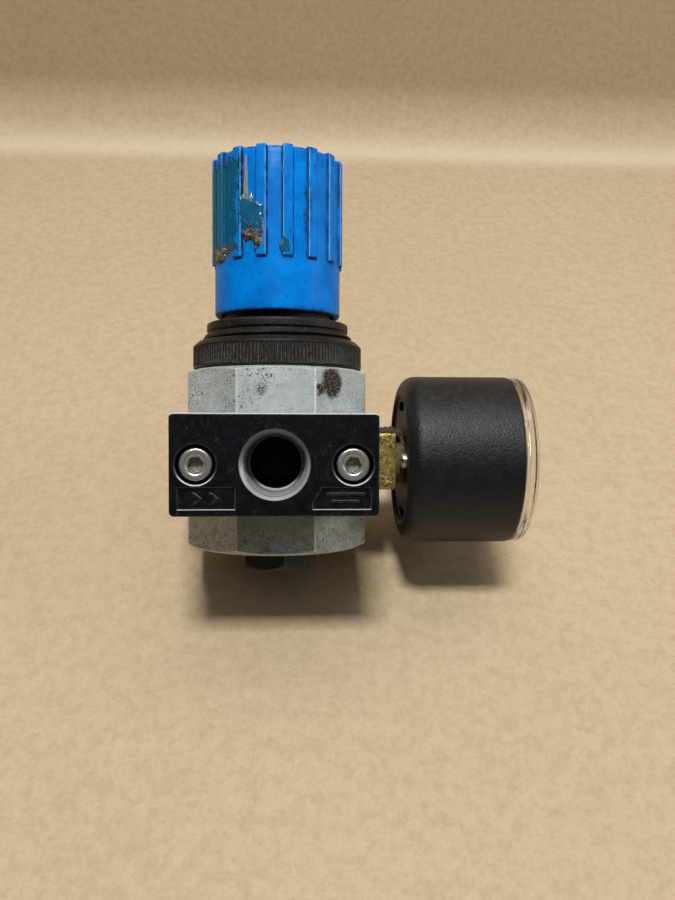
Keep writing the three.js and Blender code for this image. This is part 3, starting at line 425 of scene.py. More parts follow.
def mat_knob():
    g = Graph("blue_knob")
    th = g.angle()
    deg = g.m("MULTIPLY", th, 180 / PI)
    # signed distance from the nearest rib's centre line, mm
    ph = g.m("DIVIDE", g.m("SUBTRACT", th, RIB_TURN), RIB_PITCH)
    u = g.m("MULTIPLY", g.m("SUBTRACT", ph, g.m("ROUND", ph)), RIB_PITCH * 15.2)
    au = g.m("ABSOLUTE", u)
    ribzone = g.band(g.z, 71.9, 96.2, 0.25)
    long_ = g.vmath("MULTIPLY", g.p, (1.0, 1.0, 0.22))
    n1, n2, n3 = g.noise(0.16, 4), g.noise(0.9, 6, 0.6), g.noise(5.0, 5, 0.65)
    col = g.mix(g.step(n1, 0.3, 0.7), srgb(0, 118, 214), srgb(0, 140, 242))
    col = g.mix(g.mul(g.step(n2, 0.5, 0.75), 0.4), col, srgb(0, 94, 182))
    col = g.mix(g.mul(g.step(g.noise(1.4, 6, 0.65, long_), 0.52, 0.7), ribzone, 0.45), col, srgb(0, 74, 146))
    # grime and painted shade in the corners beside each rib
    broken = g.step(g.noise(0.5, 6, 0.7, g.vmath("MULTIPLY", g.p, (1.0, 1.0, 0.5))), 0.3, 0.52)
    side = g.mx(g.band(u, 1.08, 1.5, 0.14), g.mul(g.band(u, -1.5, -1.1, 0.14), 0.9))
    grime_and_shade = g.mul(side, ribzone, broken)
    # painted shade: a dark band under the rib ends
    rib_foot_shade = g.mul(g.band(g.z, 71.55, 71.98, 0.14), g.step(au, 1.5, 1.1), g.step(n2, 0.36, 0.6))
    grime_and_shade = g.mx(grime_and_shade, rib_foot_shade)
    smear = g.mul(g.step(g.noise(0.3, 6, 0.7, g.vmath("MULTIPLY", g.p, (1.0, 1.0, 0.3))), 0.57, 0.7), g.step(g.noise(2.2, 4), 0.42, 0.62), ribzone, 0.75)
    grime_and_shade = g.mx(grime_and_shade, smear)
    brown = g.mul(g.band(deg, 24.0, 30.0, 2.0), g.band(g.z, 77.5, 88.0, 2.0), g.step(n2, 0.4, 0.56), 0.8)
    grime_and_shade = g.mx(grime_and_shade, brown)
    top_ = g.mul(g.step(g.z, 95.2, 96.2), g.step(g.noise(1.2, 6, 0.7), 0.44, 0.6), 0.8)
    grime_and_shade = g.mx(grime_and_shade, top_)
    scuff = g.mul(g.step(g.cells(0.42, g.noise_vec(1.1, 1.6)), 0.2, 0.08), g.step(n3, 0.42, 0.6), g.step(g.z, 72.0, 70.5), 0.8)
    grime_and_shade = g.mx(grime_and_shade, scuff)
    rim = g.mul(g.step(g.z, 61.6, 60.2), g.step(n2, 0.4, 0.66), 0.6)
    grime_and_shade = g.mx(grime_and_shade, rim)
    col = g.mix(grime_and_shade, col, g.mix(n3, srgb(8, 14, 22), srgb(38, 36, 32)))
    # dried glaze over the left ribs: ragged, streaked along the knob
    rag = g.m("MULTIPLY", g.m("SUBTRACT", g.noise(0.42, 6, 0.65), 0.5), 26.0)
    dz = g.m("MULTIPLY", g.m("SUBTRACT", g.noise(0.55, 5, 0.65), 0.5), 7.0)
    gl = g.mul(g.band(g.m("ADD", deg, rag), -90.0, -36.0, 1.6), g.band(g.m("ADD", g.z, dz), 73.6, 94.0, 0.5))
    holes = g.mx(g.step(g.noise(0.62, 6, 0.65, long_), 0.34, 0.44), g.step(g.m("ADD", deg, g.m("MULTIPLY", rag, 0.3)), -43.0, -48.0))
    gl = g.mul(gl, holes)
    glc = g.mix(g.step(g.noise(0.5, 6, 0.65, long_), 0.38, 0.6), srgb(4, 88, 128), srgb(22, 90, 98))
    glc = g.mix(g.mul(g.step(g.noise(0.9, 6, 0.7, long_), 0.58, 0.68), 0.6), glc, srgb(84, 96, 86))
    col = g.mix(g.mul(gl, 0.9), col, glc)
    low = g.mul(g.band(g.m("ADD", deg, rag), -84, -38, 3), g.band(g.m("ADD", g.z, g.m("MULTIPLY", dz, 0.4)), 71.8, 75.6, 0.5), g.step(n2, 0.4, 0.56))
    col = g.mix(g.mul(low, 0.85), col, g.mix(n3, srgb(44, 50, 46), srgb(112, 108, 90)))
    # pale scrape streak that widens downwards, with a dark line on its left
    wob = g.m("ADD", deg, g.m("MULTIPLY", g.m("SUBTRACT", g.noise(0.6, 4, 0.6, g.vmath("MULTIPLY", g.p, (0.2, 0.2, 1))), 0.5), 3.0))
    widen = g.m("MULTIPLY", g.m("SUBTRACT", 94.0, g.z), 0.17)
    sd = g.m("ABSOLUTE", g.m("SUBTRACT", wob, -27.6))
    streak = g.mul(g.step(g.m("SUBTRACT", sd, g.m("ADD", 0.7, widen)), 0.5, -0.2), g.band(g.z, 82.6, 94.4, 0.5), g.step(g.noise(1.6, 5, 0.65), 0.3, 0.44))
    col = g.mix(streak, col, g.mix(n3, srgb(186, 178, 150), srgb(120, 116, 98)))
    edge = g.mul(g.band(wob, -33.4, -31.0, 0.4), g.band(g.z, 79.0, 94.0, 0.5), g.step(n2, 0.36, 0.5), 0.9)
    col = g.mix(edge, col, srgb(10, 22, 28))
    # painted highlight near the top of the groove
    top_groove_highlight = g.mul(g.band(deg, -5.0, 2.5, 1.5), g.band(g.z, 91.5, 96.0, 1.0), g.step(n3, 0.42, 0.62), 0.5)
    col = g.mix(top_groove_highlight, col, srgb(150, 178, 226))
    # painted highlight along the rib edges: the sides that face the middle of the knob, and the rounded edges
    inner_edge_highlight = g.mul(g.band(au, 0.9, 1.08, 0.04), ribzone, g.m("SUBTRACT", 1.0, g.mul(gl, 0.8), clamp=True), g.m("LESS_THAN", g.mul(u, deg), 0.0), g.step(g.noise(0.5, 4), 0.3, 0.5))
    edge_highlight = g.mx(g.mul(g.bevel_edge(0.26), g.step(n2, 0.3, 0.58), 0.6), inner_edge_highlight)
    col = g.mix(g.mul(edge_highlight, 0.75), col, srgb(110, 190, 255))
    rough = g.m("ADD", 0.3, g.m("MULTIPLY", n2, 0.14))
    rough = g.m("ADD", rough, g.m("MULTIPLY", grime_and_shade, 0.4))
    rough = g.m("SUBTRACT", rough, g.m("MULTIPLY", gl, 0.2), clamp=True)
    h = g.m("ADD", g.m("MULTIPLY", g.noise(2.6, 6, 0.6), 0.5), g.m("MULTIPLY", g.mx(grime_and_shade, streak), n3))
    nrm = g.bump(h, 0.035)
    nrm = g.bump(g.mul(gl, g.m("ADD", 1.0, g.noise(0.8, 4, 0.6, long_))), 0.2, nrm)
    return g.surface(color=col, rough=rough, normal=nrm, spec=0.09)


def mat_gunk(name="dried_lump", zd=78.2):
    """Dried lump on the knob: smooth glossy teal above, dirt and beige glue along its ragged lower half."""
    g = Graph(name)
    n1, n2, n3 = g.noise(0.3, 4, 0.5), g.noise(0.75, 5, 0.6), g.noise(3.6, 4)
    dirt = g.step(g.m("ADD", g.m("MULTIPLY", g.m("SUBTRACT", zd, g.z), 0.1), g.m("SUBTRACT", n2, 0.5)), 0.0, 0.1)
    col = g.mix(n1, srgb(2, 84, 138), srgb(22, 100, 122))
    pale = g.mx(g.mul(g.step(n2, 0.56, 0.64), g.step(g.z, 85.0, 80.0), 0.5), g.mul(g.step(n2, 0.4, 0.56), g.step(g.z, 83.6, 85.2), g.step(g.angle(), -0.3, -0.4)))
    col = g.mix(g.mul(pale, 0.8), col, srgb(140, 138, 112))
    col = g.mix(dirt, col, g.mix(g.step(g.noise(1.3, 5, 0.6), 0.42, 0.58), srgb(30, 34, 32), srgb(128, 122, 100)))
    rough = g.m("ADD", 0.16, g.m("MULTIPLY", dirt, 0.45))
    h = g.m("ADD", g.m("MULTIPLY", n2, 0.6), g.m("MULTIPLY", g.mul(dirt, n3), 0.5))
    return g.surface(color=col, rough=rough, normal=g.bump(h, 0.04), coat=0.5, coat_rough=0.12)


def mat_paint():
    g = Graph("grey_cast_paint")
    n1, n2, n3 = g.noise(0.09, 5, 0.6), g.noise(0.8, 6, 0.65), g.noise(6.5, 6, 0.6)
    col = g.mix(g.step(n1, 0.3, 0.7), srgb(190, 199, 198), srgb(204, 214, 215))
    col = g.mix(g.mul(g.step(n2, 0.45, 0.8), 0.5), col, srgb(160, 165, 156))
    # brown haze, stronger low down and on the left and right
    low = g.step(g.z, 17.0, 7.0)
    haze = g.mul(g.step(g.noise(0.5, 6, 0.7), 0.4, 0.7), g.m("ADD", 0.26, g.m("MULTIPLY", low, 0.4)))
    col = g.mix(haze, col, srgb(136, 134, 116))
    fines = g.mul(g.step(g.noise(3.4, 6, 0.75), 0.54, 0.62), g.m("ADD", 0.3, g.m("MULTIPLY", g.mx(low, g.mul(g.step(g.m("ABSOLUTE", g.x), 8.4, 9.2), 0.8), g.mul(g.step(g.z, 44.0, 46.6), 0.7)), 0.6)))
    col = g.mix(fines, col, srgb(46, 45, 40))
    # black pits: size and density change over the body
    dens = g.mx(g.mul(g.step(g.z, 44.5, 47.0), 0.9), g.near((-9, -20, 43), 2, 11), g.near((-3, -20, 45.5), 1, 6), g.mul(low, 0.8), g.near((-19.5, -11, 41), 2, 8))
    dens = g.mul(dens, g.step(g.noise(0.35, 5, 0.6), 0.36, 0.6))
    th = g.m("ADD", 0.13, g.m("MULTIPLY", dens, 0.2))
    c1 = g.cells(1.25, g.noise_vec(3.0, 0.5))
    c2 = g.cells(2.9, g.noise_vec(5.0, 0.3))
    p1 = g.mul(g.m("LESS_THAN", c1, th), g.m("GREATER_THAN", g.noise(0.9, 3), 0.5))
    p2 = g.mul(g.m("LESS_THAN", c2, g.m("ADD", 0.1, g.m("MULTIPLY", dens, 0.26))), g.m("GREATER_THAN", g.noise(1.6, 3), 0.47))
    pits = g.mx(p1, p2)
    # pitted cluster on the front face and rust on the right facet
    clus = g.mul(g.near((-3.2, -20.5, 41.8), 0.3, 1.9, (1, 1, 1.0)), g.step(g.noise(3.2, 5, 0.7), 0.44, 0.56))
    pits = g.mx(pits, g.mul(clus, 0.9))
    col = g.mix(g.mul(pits, 0.92), col, srgb(34, 32, 28))
    wv = g.noise_vec(0.8, 2.2, 4.0)
    rust = g.mx(g.near((12.4, -16.8, 43.7), 2.4, 3.7, (0.95, 0.95, 0.9), wv), g.near((9.5, -19.0, 42.0), 0.9, 1.9, (1, 1, 1), wv))
    rust = g.mul(rust, g.step(g.noise(2.4, 6, 0.75), 0.36, 0.44))
    col = g.mix(rust, col, g.mix(g.step(g.noise(2.2, 5, 0.6), 0.35, 0.65), srgb(16, 13, 10), srgb(74, 52, 34)))
    # painted highlight on the rounded edges and along the front facets' corner lines
    edge = g.bevel_edge(0.5)
    col = g.mix(g.mul(edge, 0.8, g.step(n2, 0.25, 0.5)), col, srgb(232, 236, 232))
    corner_highlight = g.mul(g.band(g.m("ABSOLUTE", g.x), 8.3, 8.72, 0.1), g.step(g.m("ABSOLUTE", g.y), 19.4, 19.9), g.step(n2, 0.3, 0.48))
    col = g.mix(g.mul(corner_highlight, 0.8), col, srgb(240, 244, 240))
    # painted shade, brownish, where pieces meet, from ambient occlusion
    occ = g.step(g.ao(2.2), 0.86, 0.5)
    col = g.mix(g.mul(occ, 0.5, g.step(n2, 0.3, 0.6)), col, srgb(70, 66, 54))
    # painted shade inside the port bore
    port = g.vmath("LENGTH", g.vmath("MULTIPLY", g.vmath("SUBTRACT", g.p, (0, 0, PORT_Z)), (1, 0, 1)))
    bore_shade = g.mul(g.step(port, 5.75, 5.62), g.step(g.m("ABSOLUTE", g.y), 20.45, 20.3))
    col = g.mix(bore_shade, col, srgb(20, 20, 20))
    rough = g.m("ADD", 0.42, g.m("MULTIPLY", n2, 0.16))
    rough = g.m("ADD", rough, g.m("MULTIPLY", g.mx(rust, pits), 0.3), clamp=True)
    cast = g.m("ADD", g.m("MULTIPLY", n3, 0.5), g.m("MULTIPLY", g.noise(1.7, 4), 0.5))
    nrm = g.bump(cast, 0.05)
    nrm = g.bump(g.m("SUBTRACT", g.mul(rust, g.noise(3.5, 5, 0.7)), g.m("MULTIPLY", pits, 0.8)), 0.12, nrm)
    return g.surface(color=col, rough=rough, metal=g.m("SUBTRACT", 0.18, g.m("MULTIPLY", rust, 0.18)), normal=nrm, spec=0.45)


def mat_plate(name="black_coating"):
    g = Graph(name)
    n1, n2, n3 = g.noise(0.25, 4), g.noise(1.6, 6, 0.65), g.noise(9, 5, 0.6)
    col = g.mix(n1, srgb(2, 3, 6), srgb(9, 11, 17))
    specks = g.mul(g.step(g.cells(3.4, g.noise_vec(4, 0.25)), 0.15, 0.06), g.step(g.noise(1.1, 4, 0.6), 0.5, 0.62))
    fine = g.mul(g.step(g.cells(7.0), 0.17, 0.08), g.step(g.noise(0.7, 4), 0.52, 0.66))
    scr = g.mul(g.step(g.cells(0.9, g.vmath("MULTIPLY", g.noise_vec(0.7, 1.2), (1.0, 1.0, 0.22)), "DISTANCE_TO_EDGE"), 0.012, 0.003), g.step(g.noise(0.4, 3), 0.56, 0.66))
    wear = g.mx(specks, g.mul(fine, 0.8), g.mul(scr, 0.7))
    col = g.mix(g.mul(wear, 0.75), col, srgb(120, 124, 128))
    edge = g.bevel_edge(0.3)
    fine2 = g.mul(g.step(g.noise(6.5, 5, 0.7), 0.58, 0.66), g.step(g.noise(0.8, 5, 0.7), 0.4, 0.6), 0.9)
    col = g.mix(fine2, col, srgb(104, 114, 130))
    geo = g.nt.nodes.new("ShaderNodeNewGeometry")
    upz = g.nt.nodes.new("ShaderNodeSeparateXYZ")
    g.nt.links.new(geo.outputs["Normal"], upz.inputs[0])
    # painted highlight on the upward-facing edges and on the upward-facing walls of the recessed fields
    bright = g.mul(edge, g.step(n2, 0.34, 0.56), g.mx(g.step(upz.outputs["Z"], 0.05, 0.4), 0.12))
    lit = g.mul(g.step(upz.outputs["Z"], 0.3, 0.6), g.step(g.m("ABSOLUTE", g.y), 31.3, 31.55), g.step(n2, 0.26, 0.44))
    col = g.mix(g.mul(g.mx(bright, lit), 0.95), col, srgb(204, 208, 210))
    dust = g.mul(g.step(g.noise(0.5, 6, 0.65), 0.46, 0.72), 0.05)
    col = g.mix(dust, col, srgb(92, 92, 88))
    rough = g.m("ADD", 0.26, g.m("MULTIPLY", n2, 0.2))
    rough = g.m("ADD", rough, g.m("MULTIPLY", wear, 0.2), clamp=True)
    h = g.m("ADD", g.m("MULTIPLY", n3, 0.4), g.m("MULTIPLY", wear, -0.6))
    return g.surface(color=col, rough=rough, normal=g.bump(h, 0.03), spec=0.2)


def mat_steel(name="zinc_steel", base=(224, 223, 214), rough0=0.22, dirt=0.35):
    g = Graph(name)
    n1, n2 = g.noise(1.2, 6, 0.65), g.noise(14, 4)
    col = g.mix(n1, srgb(*base), srgb(*(int(c * 0.82) for c in base)))
    d = g.mul(g.step(g.noise(1.9, 6, 0.7), 0.48, 0.7), dirt)
    col = g.mix(d, col, srgb(74, 66, 50))
    # painted shade in hollows, from ambient occlusion
    occ = g.step(g.ao(0.9), 0.8, 0.35)
    col = g.mix(g.mul(occ, 0.6), col, srgb(40, 36, 28))
    rough = g.m("ADD", rough0, g.m("ADD", g.m("MULTIPLY", n1, 0.12), g.m("MULTIPLY", d, 0.5)), clamp=True)
    return g.surface(color=col, rough=rough, metal=0.85, normal=g.bump(g.m("ADD", n2, g.m("MULTIPLY", n1, 0.7)), 0.02))


def mat_thread():
    """Bare cut metal in the ports, bright on the crests, with painted shade deeper in, in the thread roots and on the
    faces that look down.
    """
    g = Graph("bare_cut_metal")
    n1 = g.noise(1.1, 5, 0.6)
    r = g.m("SQRT", g.m("ADD", g.mul(g.x, g.x), g.m("POWER", g.m("SUBTRACT", g.z, PORT_Z), 2.0)))
    col = g.mix(n1, srgb(226, 230, 233), srgb(188, 194, 199))
    # painted shade deeper in the bore
    deep = g.step(g.m("ABSOLUTE", g.y), 25.5, 22.6)
    col = g.mix(g.mul(deep, 0.6), col, srgb(70, 74, 78))
    sw = g.noise(3.0, 4, 0.6, g.vmath("MULTIPLY", g.p, (0.3, 6.0, 0.3)))
    ang = g.m("DIVIDE", g.m("ARCTAN2", g.m("SUBTRACT", g.z, PORT_Z), g.x), 2 * PI)
    ph = g.m("FRACT", g.m("SUBTRACT", g.m("DIVIDE", g.m("ABSOLUTE", g.y), 1.41), ang))
    # painted shade in the thread roots
    root = g.mul(g.step(g.m("ABSOLUTE", g.m("SUBTRACT", g.m("MULTIPLY", ph, 2.0), 1.0)), 0.2, 0.42), g.step(g.m("ABSOLUTE", g.y), 31.3, 31.1))
    col = g.mix(g.mul(root, 0.75), col, srgb(98, 106, 114))
    geo = g.nt.nodes.new("ShaderNodeNewGeometry")
    upn = g.nt.nodes.new("ShaderNodeSeparateXYZ")
    g.nt.links.new(geo.outputs["Normal"], upn.inputs[0])
    # painted shade on the faces that look down
    col = g.mix(g.mul(g.step(upn.outputs["Z"], 0.25, -0.45), 0.75), col, srgb(48, 52, 58))
    rough = g.m("ADD", 0.3, g.m("MULTIPLY", n1, 0.14))
    return g.surface(color=col, rough=rough, metal=0.6, normal=g.bump(g.m("ADD", sw, g.noise(12, 3)), 0.025))


def mat_brass_rough():
    """Outside brass: granular, with green and brown patina."""
    g = Graph("weathered_brass")
    n1, n2, n3 = g.noise(0.42, 6, 0.65), g.noise(1.5, 6, 0.7), g.noise(5.5, 6, 0.7)
    col = g.mix(g.step(n3, 0.34, 0.66), srgb(132, 110, 46), srgb(232, 208, 122))
    green = g.mul(g.step(n2, 0.5, 0.58), g.step(g.noise(0.6, 4), 0.38, 0.52))
    col = g.mix(green, col, g.mix(n3, srgb(38, 44, 26), srgb(92, 98, 58)))
    brown = g.mx(g.step(g.noise(0.7, 6, 0.7), 0.52, 0.66), g.mul(g.step(g.x, 27.3, 28.6), g.step(n2, 0.24, 0.5)), g.mul(g.step(g.z, 31.6, 33.2), g.step(n2, 0.22, 0.5)))
    col = g.mix(g.mul(brown, 0.86), col, g.mix(n3, srgb(44, 36, 24), srgb(96, 84, 60)))
    edge = g.mul(g.bevel_edge(0.35), g.step(n2, 0.36, 0.5))
    col = g.mix(g.mul(edge, 0.6), col, srgb(226, 206, 140))
    dirty = g.mx(green, brown)
    rough = g.m("ADD", 0.3, g.m("MULTIPLY", dirty, 0.5), clamp=True)
    h = g.m("ADD", g.m("MULTIPLY", n3, 0.6), g.m("MULTIPLY", g.mul(dirty, n2), 1.1))
    return g.surface(color=col, rough=rough, metal=g.m("SUBTRACT", 0.95, g.m("MULTIPLY", dirty, 0.85)), normal=g.bump(h, 0.16))


def mat_brass_clean():
    g = Graph("machined_brass")
    n1, n2 = g.noise(0.8, 5, 0.6), g.noise(11, 3)
    col = g.mix(n1, srgb(204, 174, 98), srgb(172, 142, 74))
    # painted shade in hollows, from ambient occlusion
    col = g.mix(g.mul(g.step(g.ao(1.2), 0.8, 0.3), 0.5), col, srgb(80, 62, 30))
    return g.surface(color=col, rough=g.m("ADD", 0.22, g.m("MULTIPLY", n1, 0.18)), metal=1.0, normal=g.bump(n2, 0.015))


def mat_case():
    g = Graph("pebbled_black_case")
    n1, n2, n3 = g.noise(0.3, 5, 0.6), g.noise(1.4, 6, 0.65), g.noise(7, 5, 0.6)
    peb = g.cells(2.1, g.noise_vec(2.4, 0.5), "SMOOTH_F1")
    col = g.mix(n1, srgb(13, 15, 18), srgb(23, 26, 31))
    dust = g.mul(g.step(g.noise(0.42, 6, 0.7), 0.4, 0.7), g.step(n2, 0.35, 0.65))
    up = g.step(g.z, 24, 45)
    col = g.mix(g.mul(dust, g.m("ADD", 0.05, g.m("MULTIPLY", up, 0.2))), col, srgb(96, 98, 94))
    sc = g.mul(g.step(g.cells(1.3, g.noise_vec(1.5, 1.0)), 0.2, 0.08), g.step(n3, 0.45, 0.6), g.step(n1, 0.42, 0.6))
    col = g.mix(g.mul(sc, 0.5), col, srgb(128, 124, 114))
    edge = g.bevel_edge(0.3)
    col = g.mix(g.mul(edge, 0.25, g.step(n2, 0.36, 0.6)), col, srgb(96, 100, 104))
    rough = g.m("ADD", 0.33, g.m("ADD", g.m("MULTIPLY", n2, 0.16), g.m("MULTIPLY", dust, 0.18)), clamp=True)
    h = g.m("ADD", g.m("MULTIPLY", peb, 0.9), g.m("MULTIPLY", n3, 0.5))
    return g.surface(color=col, rough=rough, normal=g.bump(h, 0.09), spec=0.38)


def mat_black_plastic(name="black_moulding", base=(18, 18, 17), dusty=0.25, rough0=0.42):
    g = Graph(name)
    n1, n2, n3 = g.noise(0.5, 5, 0.6), g.noise(2.0, 6, 0.65), g.noise(8, 4)
    col = g.mix(n1, srgb(*base), srgb(*(c + 14 for c in base)))
    d = g.mul(g.step(g.noise(0.9, 6, 0.7), 0.42, 0.7), dusty)
    col = g.mix(d, col, srgb(110, 100, 84))
    edge = g.mul(g.bevel_edge(0.2), g.step(n2, 0.3, 0.6))
    col = g.mix(g.mul(edge, 0.25), col, srgb(104, 102, 98))
    rough = g.m("ADD", rough0, g.m("ADD", g.m("MULTIPLY", n2, 0.16), d), clamp=True)
    return g.surface(color=col, rough=rough, normal=g.bump(g.m("ADD", n3, g.m("MULTIPLY", n2, 0.6)), 0.03))


def mat_nut():
    """Knurled ring nut: dust lies in the grooves of the knurl, crests are rubbed dark and shiny."""
    g = Graph("dusty_knurled_nut")
    n1, n2, n3 = g.noise(0.35, 6, 0.65), g.noise(1.7, 6, 0.65), g.noise(8, 4)
    r = g.m("SQRT", g.m("ADD", g.mul(g.x, g.x), g.mul(g.y, g.y)))
    groove = g.mul(g.step(r, 20.02, 19.78), g.step(g.z, 52.9, 52.5))
    col = g.mix(n1, srgb(9, 8, 8), srgb(20, 19, 18))
    dust = g.m("ADD", g.mul(groove, g.step(g.noise(1.0, 6, 0.75), 0.4, 0.6), 0.75), g.mul(g.step(g.noise(2.6, 6, 0.75), 0.52, 0.64), 0.5), clamp=True)
    col = g.mix(dust, col, g.mix(n2, srgb(56, 54, 50), srgb(122, 116, 106)))
    edge = g.mul(g.bevel_edge(0.18), g.step(n2, 0.34, 0.56))
    col = g.mix(g.mul(edge, 0.35), col, srgb(140, 136, 128))
    rough = g.m("ADD", 0.32, g.m("ADD", g.m("MULTIPLY", dust, 0.45), g.m("MULTIPLY", n2, 0.1)), clamp=True)
    return g.surface(color=col, rough=rough, normal=g.bump(g.m("ADD", n3, n2), 0.035), spec=0.24)


def mat_bonnet():
    g = Graph("dusty_dark_bonnet")
    n1, n2, n3 = g.noise(0.3, 6, 0.65), g.noise(1.5, 6, 0.65), g.noise(7, 5)
    col = g.mix(n1, srgb(13, 13, 13), srgb(28, 26, 25))
    dust = g.mul(g.step(g.noise(2.2, 6, 0.75), 0.5, 0.66), g.step(g.noise(0.4, 5), 0.34, 0.6), 0.65)
    occ = g.step(g.ao(0.8), 0.85, 0.45)
    dust = g.m("ADD", dust, g.m("MULTIPLY", occ, 0.12), clamp=True)
    col = g.mix(dust, col, srgb(104, 98, 90))
    rough = g.m("ADD", 0.45, g.m("MULTIPLY", dust, 0.4), clamp=True)
    return g.surface(color=col, rough=rough, normal=g.bump(g.m("ADD", n3, n2), 0.05), spec=0.3)


def mat_clear():
    """Clear moulding, slightly brown, that lets the studio light through to the dial."""
    g = Graph("clear_window")
    n = g.noise(1.1, 5, 0.6)
    glass = g.nt.nodes.new("ShaderNodeBsdfPrincipled")
    glass.inputs["Base Color"].default_value = (0.985, 0.975, 0.95, 1)
    glass.inputs["Transmission Weight"].default_value = 1.0
    glass.inputs["IOR"].default_value = 1.46
    g.put(glass.inputs["Roughness"], g.m("ADD", 0.015, g.m("MULTIPLY", g.step(n, 0.5, 0.8), 0.05)))
    h = g.m("ADD", g.mul(g.step(g.cells(0.8, g.vmath("MULTIPLY", g.noise_vec(0.5, 1.5), (1, 0.2, 1)), "DISTANCE_TO_EDGE"), 0.01, 0.002), 0.6), g.m("MULTIPLY", n, 0.2))
    g.put(glass.inputs["Normal"], g.bump(h, 0.01))
    clear = g.nt.nodes.new("ShaderNodeBsdfTransparent")
    clear.inputs[0].default_value = (0.98, 0.97, 0.95, 1)
    lp = g.nt.nodes.new("ShaderNodeLightPath")
    sh = g.nt.nodes.new("ShaderNodeMixShader")
    fac = g.mx(lp.outputs["Is Shadow Ray"], g.mul(lp.outputs["Is Diffuse Ray"], 1.0))
    g.nt.links.new(fac, sh.inputs[0])
    g.nt.links.new(glass.outputs[0], sh.inputs[1])
    g.nt.links.new(clear.outputs[0], sh.inputs[2])
    g.nt.links.new(sh.outputs[0], g.out.inputs[0])
    return g.mat


def mat_dial():
    g = Graph("white_dial_enamel")
    n1, n2 = g.noise(0.2, 4), g.noise(6, 4)
    col = g.mix(n1, srgb(238, 237, 230), srgb(228, 226, 214))
    r = g.m("SQRT", g.m("ADD", g.mul(g.y, g.y), g.m("POWER", g.m("SUBTRACT", g.z, PORT_Z), 2.0)))
    col = g.mix(g.mul(g.step(r, 15.5, 18.0), 0.25, g.step(n2, 0.3, 0.6)), col, srgb(196, 184, 152))
    return g.surface(color=col, rough=g.m("ADD", 0.34, g.m("MULTIPLY", n1, 0.1)), normal=g.bump(n2, 0.008), coat=0.2)


def mat_flat(name, a, b, rough=0.5, metal=0.0, bump=0.02, scale=1.2):
    g = Graph(name)
    n1, n2 = g.noise(scale, 5, 0.6), g.noise(scale * 7, 4)
    col = g.mix(n1, srgb(*a), srgb(*b))
    # painted shade in hollows, from ambient occlusion
    col = g.mix(g.mul(g.step(g.ao(0.8), 0.8, 0.3), 0.3), col, tuple(c * 0.3 for c in srgb(*b)))
    return g.surface(color=col, rough=g.m("ADD", rough, g.m("MULTIPLY", n1, 0.12)), metal=metal, normal=g.bump(n2, bump))


M = {
    "knob": mat_knob(), "gunk": mat_gunk(), "gunk2": mat_gunk("dried_chip", 60.0), "paint": mat_paint(), "plate": mat_plate(), "steel": mat_steel(), "thread": mat_thread(),
    "brass_out": mat_brass_rough(), "brass": mat_brass_clean(), "case": mat_case(), "black": mat_black_plastic(), "nut": mat_nut(),
    "bonnet": mat_bonnet(), "clear": mat_clear(), "dial": mat_dial(),
    "plug": mat_black_plastic("dirty_black_plug", (6, 6, 7), 0.08, 0.4),
    "spring": mat_steel("spring_wire", (150, 152, 156), 0.28, 0.15),
    "rubber": mat_flat("black_elastomer", (16, 16, 16), (30, 30, 30), 0.62, 0.0, 0.03),
    "white": mat_flat("white_polymer", (226, 223, 212), (204, 200, 188), 0.4),
    "ink": mat_flat("black_print", (14, 14, 14), (26, 26, 26), 0.5, 0.0, 0.003),
    "red": mat_flat("red_print", (176, 24, 20), (150, 18, 16), 0.5, 0.0, 0.003),
    "dirt": mat_flat("packed_dirt", (44, 38, 28), (98, 86, 64), 0.85, 0.0, 0.16, 2.0),
}


# ---------------------------------------------------------------- knob
def radial(name, rows, n, mat, angle=38.0, thetas=None):
    """Closed body about +Z: rows are (radius function of column, z function or number). Ends are capped with one face."""
    verts, faces = [], []
    for rf, zf in rows:
        for i in range(n):
            a = thetas[i] if thetas else 2 * PI * i / n
            r = rf(a) if callable(rf) else rf
            z = zf(a) if callable(zf) else zf
            verts.append((r * math.sin(a), -r * math.cos(a), z))  # a = 0 looks along -Y and grows towards +X
    k = len(rows)
    for s in range(k - 1):
        for i in range(n):
            j = (i + 1) % n
            faces.append((s * n + i, s * n + j, (s + 1) * n + j, (s + 1) * n + i))
    faces.append(tuple(range(n)))
    faces.append(tuple(range((k - 1) * n, k * n))[::-1])
    return obj_from(name, verts, faces, mat, True, angle)


def smooth(t):
    t = min(1.0, max(0.0, t))
    return t * t * (3 - 2 * t)


def lerp(a, b, t):
    return a + (b - a) * t


def hashed_noise(x, y, z, seed=0.0):
    from mathutils import noise as mn
    return mn.fractal(Vector((x + seed, y - seed, z + 0.5 * seed)), 1.0, 2.0, 5)


RIB_U = [(-1.30, 0.0), (-1.22, 0.07), (-1.16, 0.3), (-1.09, 0.7), (-1.03, 0.93), (-0.95, 1.0), (-0.5, 1.0), (0.0, 1.0), (0.5, 1.0),
         (0.95, 1.0), (1.03, 0.93), (1.09, 0.7), (1.16, 0.3), (1.22, 0.07), (1.30, 0.0)]
knob_thetas, rib_of = [], {}
for k in range(16):
    c = RIB_TURN + k * RIB_PITCH
    half = RIB_PITCH * 15.0 / 2
    cols = [(-half, 0.0), (-half * 0.84, 0.0), (-half * 0.68, 0.0), (-1.5, 0.0)] + RIB_U + [(1.5, 0.0), (half * 0.68, 0.0), (half * 0.84, 0.0)]
    for u, h in cols:
        a = c + u / 15.0
        knob_thetas.append(a)
        rib_of[a] = h


def knob_row(rv, rr, z, zr=None):
    """Row of the outer wall: valley radius, rib radius, height, and the ribs' own height."""
    return (lambda a: lerp(rv, rr, rib_of[a]), (lambda a: lerp(z, zr if zr is not None else z, rib_of[a])))


